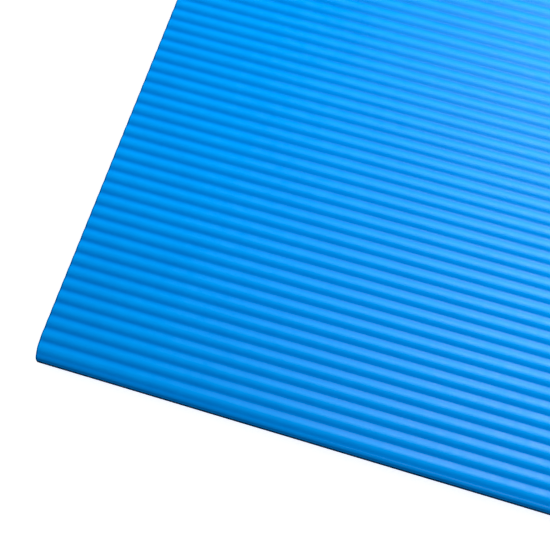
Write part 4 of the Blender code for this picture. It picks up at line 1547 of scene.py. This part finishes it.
def turned(name, centre, sign, profile, mat, steps):
    """A profile turned about an axis along X through centre (y, z)."""
    verts = []
    for i in range(steps):
        angle = 2 * math.pi * i / steps
        for radius, out in profile:
            y = centre[0] + radius * MM * math.cos(angle)
            z = centre[1] + radius * MM * math.sin(angle)
            verts.append((sign * (HALF_WIDTH + out * MM), y, z))
    return new_mesh(name, verts, band_faces(steps, len(profile), looped=True), [mat])


for node in (
    "high_left_vent_a", "high_left_vent_b", "high_right_vent_a", "high_right_vent_b",
    "low_left_vent", "low_right_vent",
):
    body = node.split("_")[0] + "_section"
    lo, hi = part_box(node)
    sign = 1 if lo.x > 0 else -1
    centre = ((lo.y + hi.y) / 2, (lo.z + hi.z) / 2)
    eyelet = turned(node.replace("vent", "eyelet"), centre, sign, EYELET, NICKEL, steps=48)
    attach(eyelet, body, node)
    disc = turned(node.replace("vent", "vent_foam"), centre, sign, VENT_DISC, FOAM, steps=24)
    attach(disc, body)

# ---- CAD nodes whose shape is kept: zip sliders, pull and stops ----------------
for node in (
    "high_zip_slider", "high_zip_pull", "low_zip_slider", "high_zip_stop_open",
    "high_zip_stop_closed", "low_zip_stop_open", "low_zip_stop_closed",
):
    ob = bpy.data.objects[node]
    if not ob.material_slots:
        ob.data.materials.append(NICKEL)
    for slot in ob.material_slots:
        slot.material = NICKEL
    bevel = ob.modifiers.new("soft edges", "BEVEL")
    bevel.width = 0.22 * MM
    bevel.segments = 3
    bevel.limit_method = "ANGLE"
    bevel.angle_limit = math.radians(35)

# ---- room and floor ----------------------------------------------------------
# The room is bright to look at, softer as a fill, and dim in reflections.
FILL_STRENGTH, SEEN_EXTRA, REFLECTED_LESS = 0.355, 0.645, 0.22
world = bpy.data.worlds.new("studio")
bpy.context.scene.world = world
world.use_nodes = True
room = world.node_tree
sky = room.nodes["Background"]
sky.inputs["Color"].default_value = (0.97, 0.98, 1.0, 1.0)
rays = room.nodes.new("ShaderNodeLightPath").outputs
seen = math_node(room, "MULTIPLY", rays["Is Camera Ray"], SEEN_EXTRA)
strength = math_node(room, "ADD", FILL_STRENGTH, seen)
reflected = math_node(room, "MULTIPLY", rays["Is Glossy Ray"], REFLECTED_LESS)
strength = math_node(room, "SUBTRACT", strength, reflected)
feed(room, sky.inputs["Strength"], strength)

FLOOR_HALF, FLOOR_Z = 9, -0.4 * MM
floor_pale = Nodes("floor_pale").finish(
    Base_Color=(0.86, 0.87, 0.88),
    Roughness=0.8,
    Emission_Color=(1.0, 1.0, 1.0),
    Emission_Strength=0.80,
)
corners = [
    (i * FLOOR_HALF, j * FLOOR_HALF, FLOOR_Z) for i, j in ((-1, -1), (1, -1), (1, 1), (-1, 1))
]
floor = new_mesh("floor", corners, [(0, 1, 2, 3)], [floor_pale], smooth=False, outward=False)


# ---- lights ------------------------------------------------------------------
def area_light(name, at, target, size, power):
    """A round area light at a place, aimed at a target."""
    data = bpy.data.lights.new(name, "AREA")
    data.shape = "DISK"
    data.size = size
    data.energy = power
    ob = bpy.data.objects.new(name, data)
    bpy.context.scene.collection.objects.link(ob)
    ob.location = at
    ob.rotation_mode = "QUATERNION"
    ob.rotation_quaternion = (Vector(target) - Vector(at)).to_track_quat("-Z", "Y")


area_light("key", at=(1.10, 1.50, 2.30), target=(0.0, -0.2, 0.1), size=0.6, power=71.0)
area_light("side", at=(0.03, -0.37, 0.55), target=(-0.03, -0.42, 0.06), size=0.30, power=2.2)
area_light("fill", at=(-2.4, -2.6, 2.2), target=(0, 0, 0.1), size=2.5, power=12.0)

# ---- camera: looks down on the toe's left-hand corner -------------------------
# The mat's axes (across, up the slope, square to it) against the camera's right, up, back.
CAMERA_AXES = np.array([
    (0.95755383, -0.27309343, 0.09225312),
    (0.28752311, 0.88210432, -0.37312523),
    (0.02052118, 0.3838124, 0.92318304),
])
CORNER_FROM_CAMERA = np.array([-134.1806, -46.7176, -609.6]) * MM  # right, up, back
mat_axes = np.column_stack([(1, 0, 0), (0, COS, SIN), (0, -SIN, COS)])
rotation = mat_axes @ CAMERA_AXES
toe_corner = np.array([-HALF_WIDTH, *on_slope(-SLOPE_END - 0.25 * RIB_PITCH, CREST)])
eye = toe_corner - rotation @ CORNER_FROM_CAMERA
camera_data = bpy.data.cameras.new("camera")
camera_data.sensor_width = 36.0
camera_data.lens = 72.731127
camera_data.clip_start = 0.01
camera_data.clip_end = 50
camera = bpy.data.objects.new("camera", camera_data)
bpy.context.scene.collection.objects.link(camera)
camera.matrix_world = Matrix.Translation(Vector(eye)) @ Matrix(rotation.tolist()).to_4x4()
bpy.context.scene.camera = camera

view = bpy.context.scene.view_settings
view.view_transform = "Standard"
view.use_curve_mapping = True
view.curve_mapping.black_level = (0.024, 0.022, 0.018)
view.curve_mapping.update()
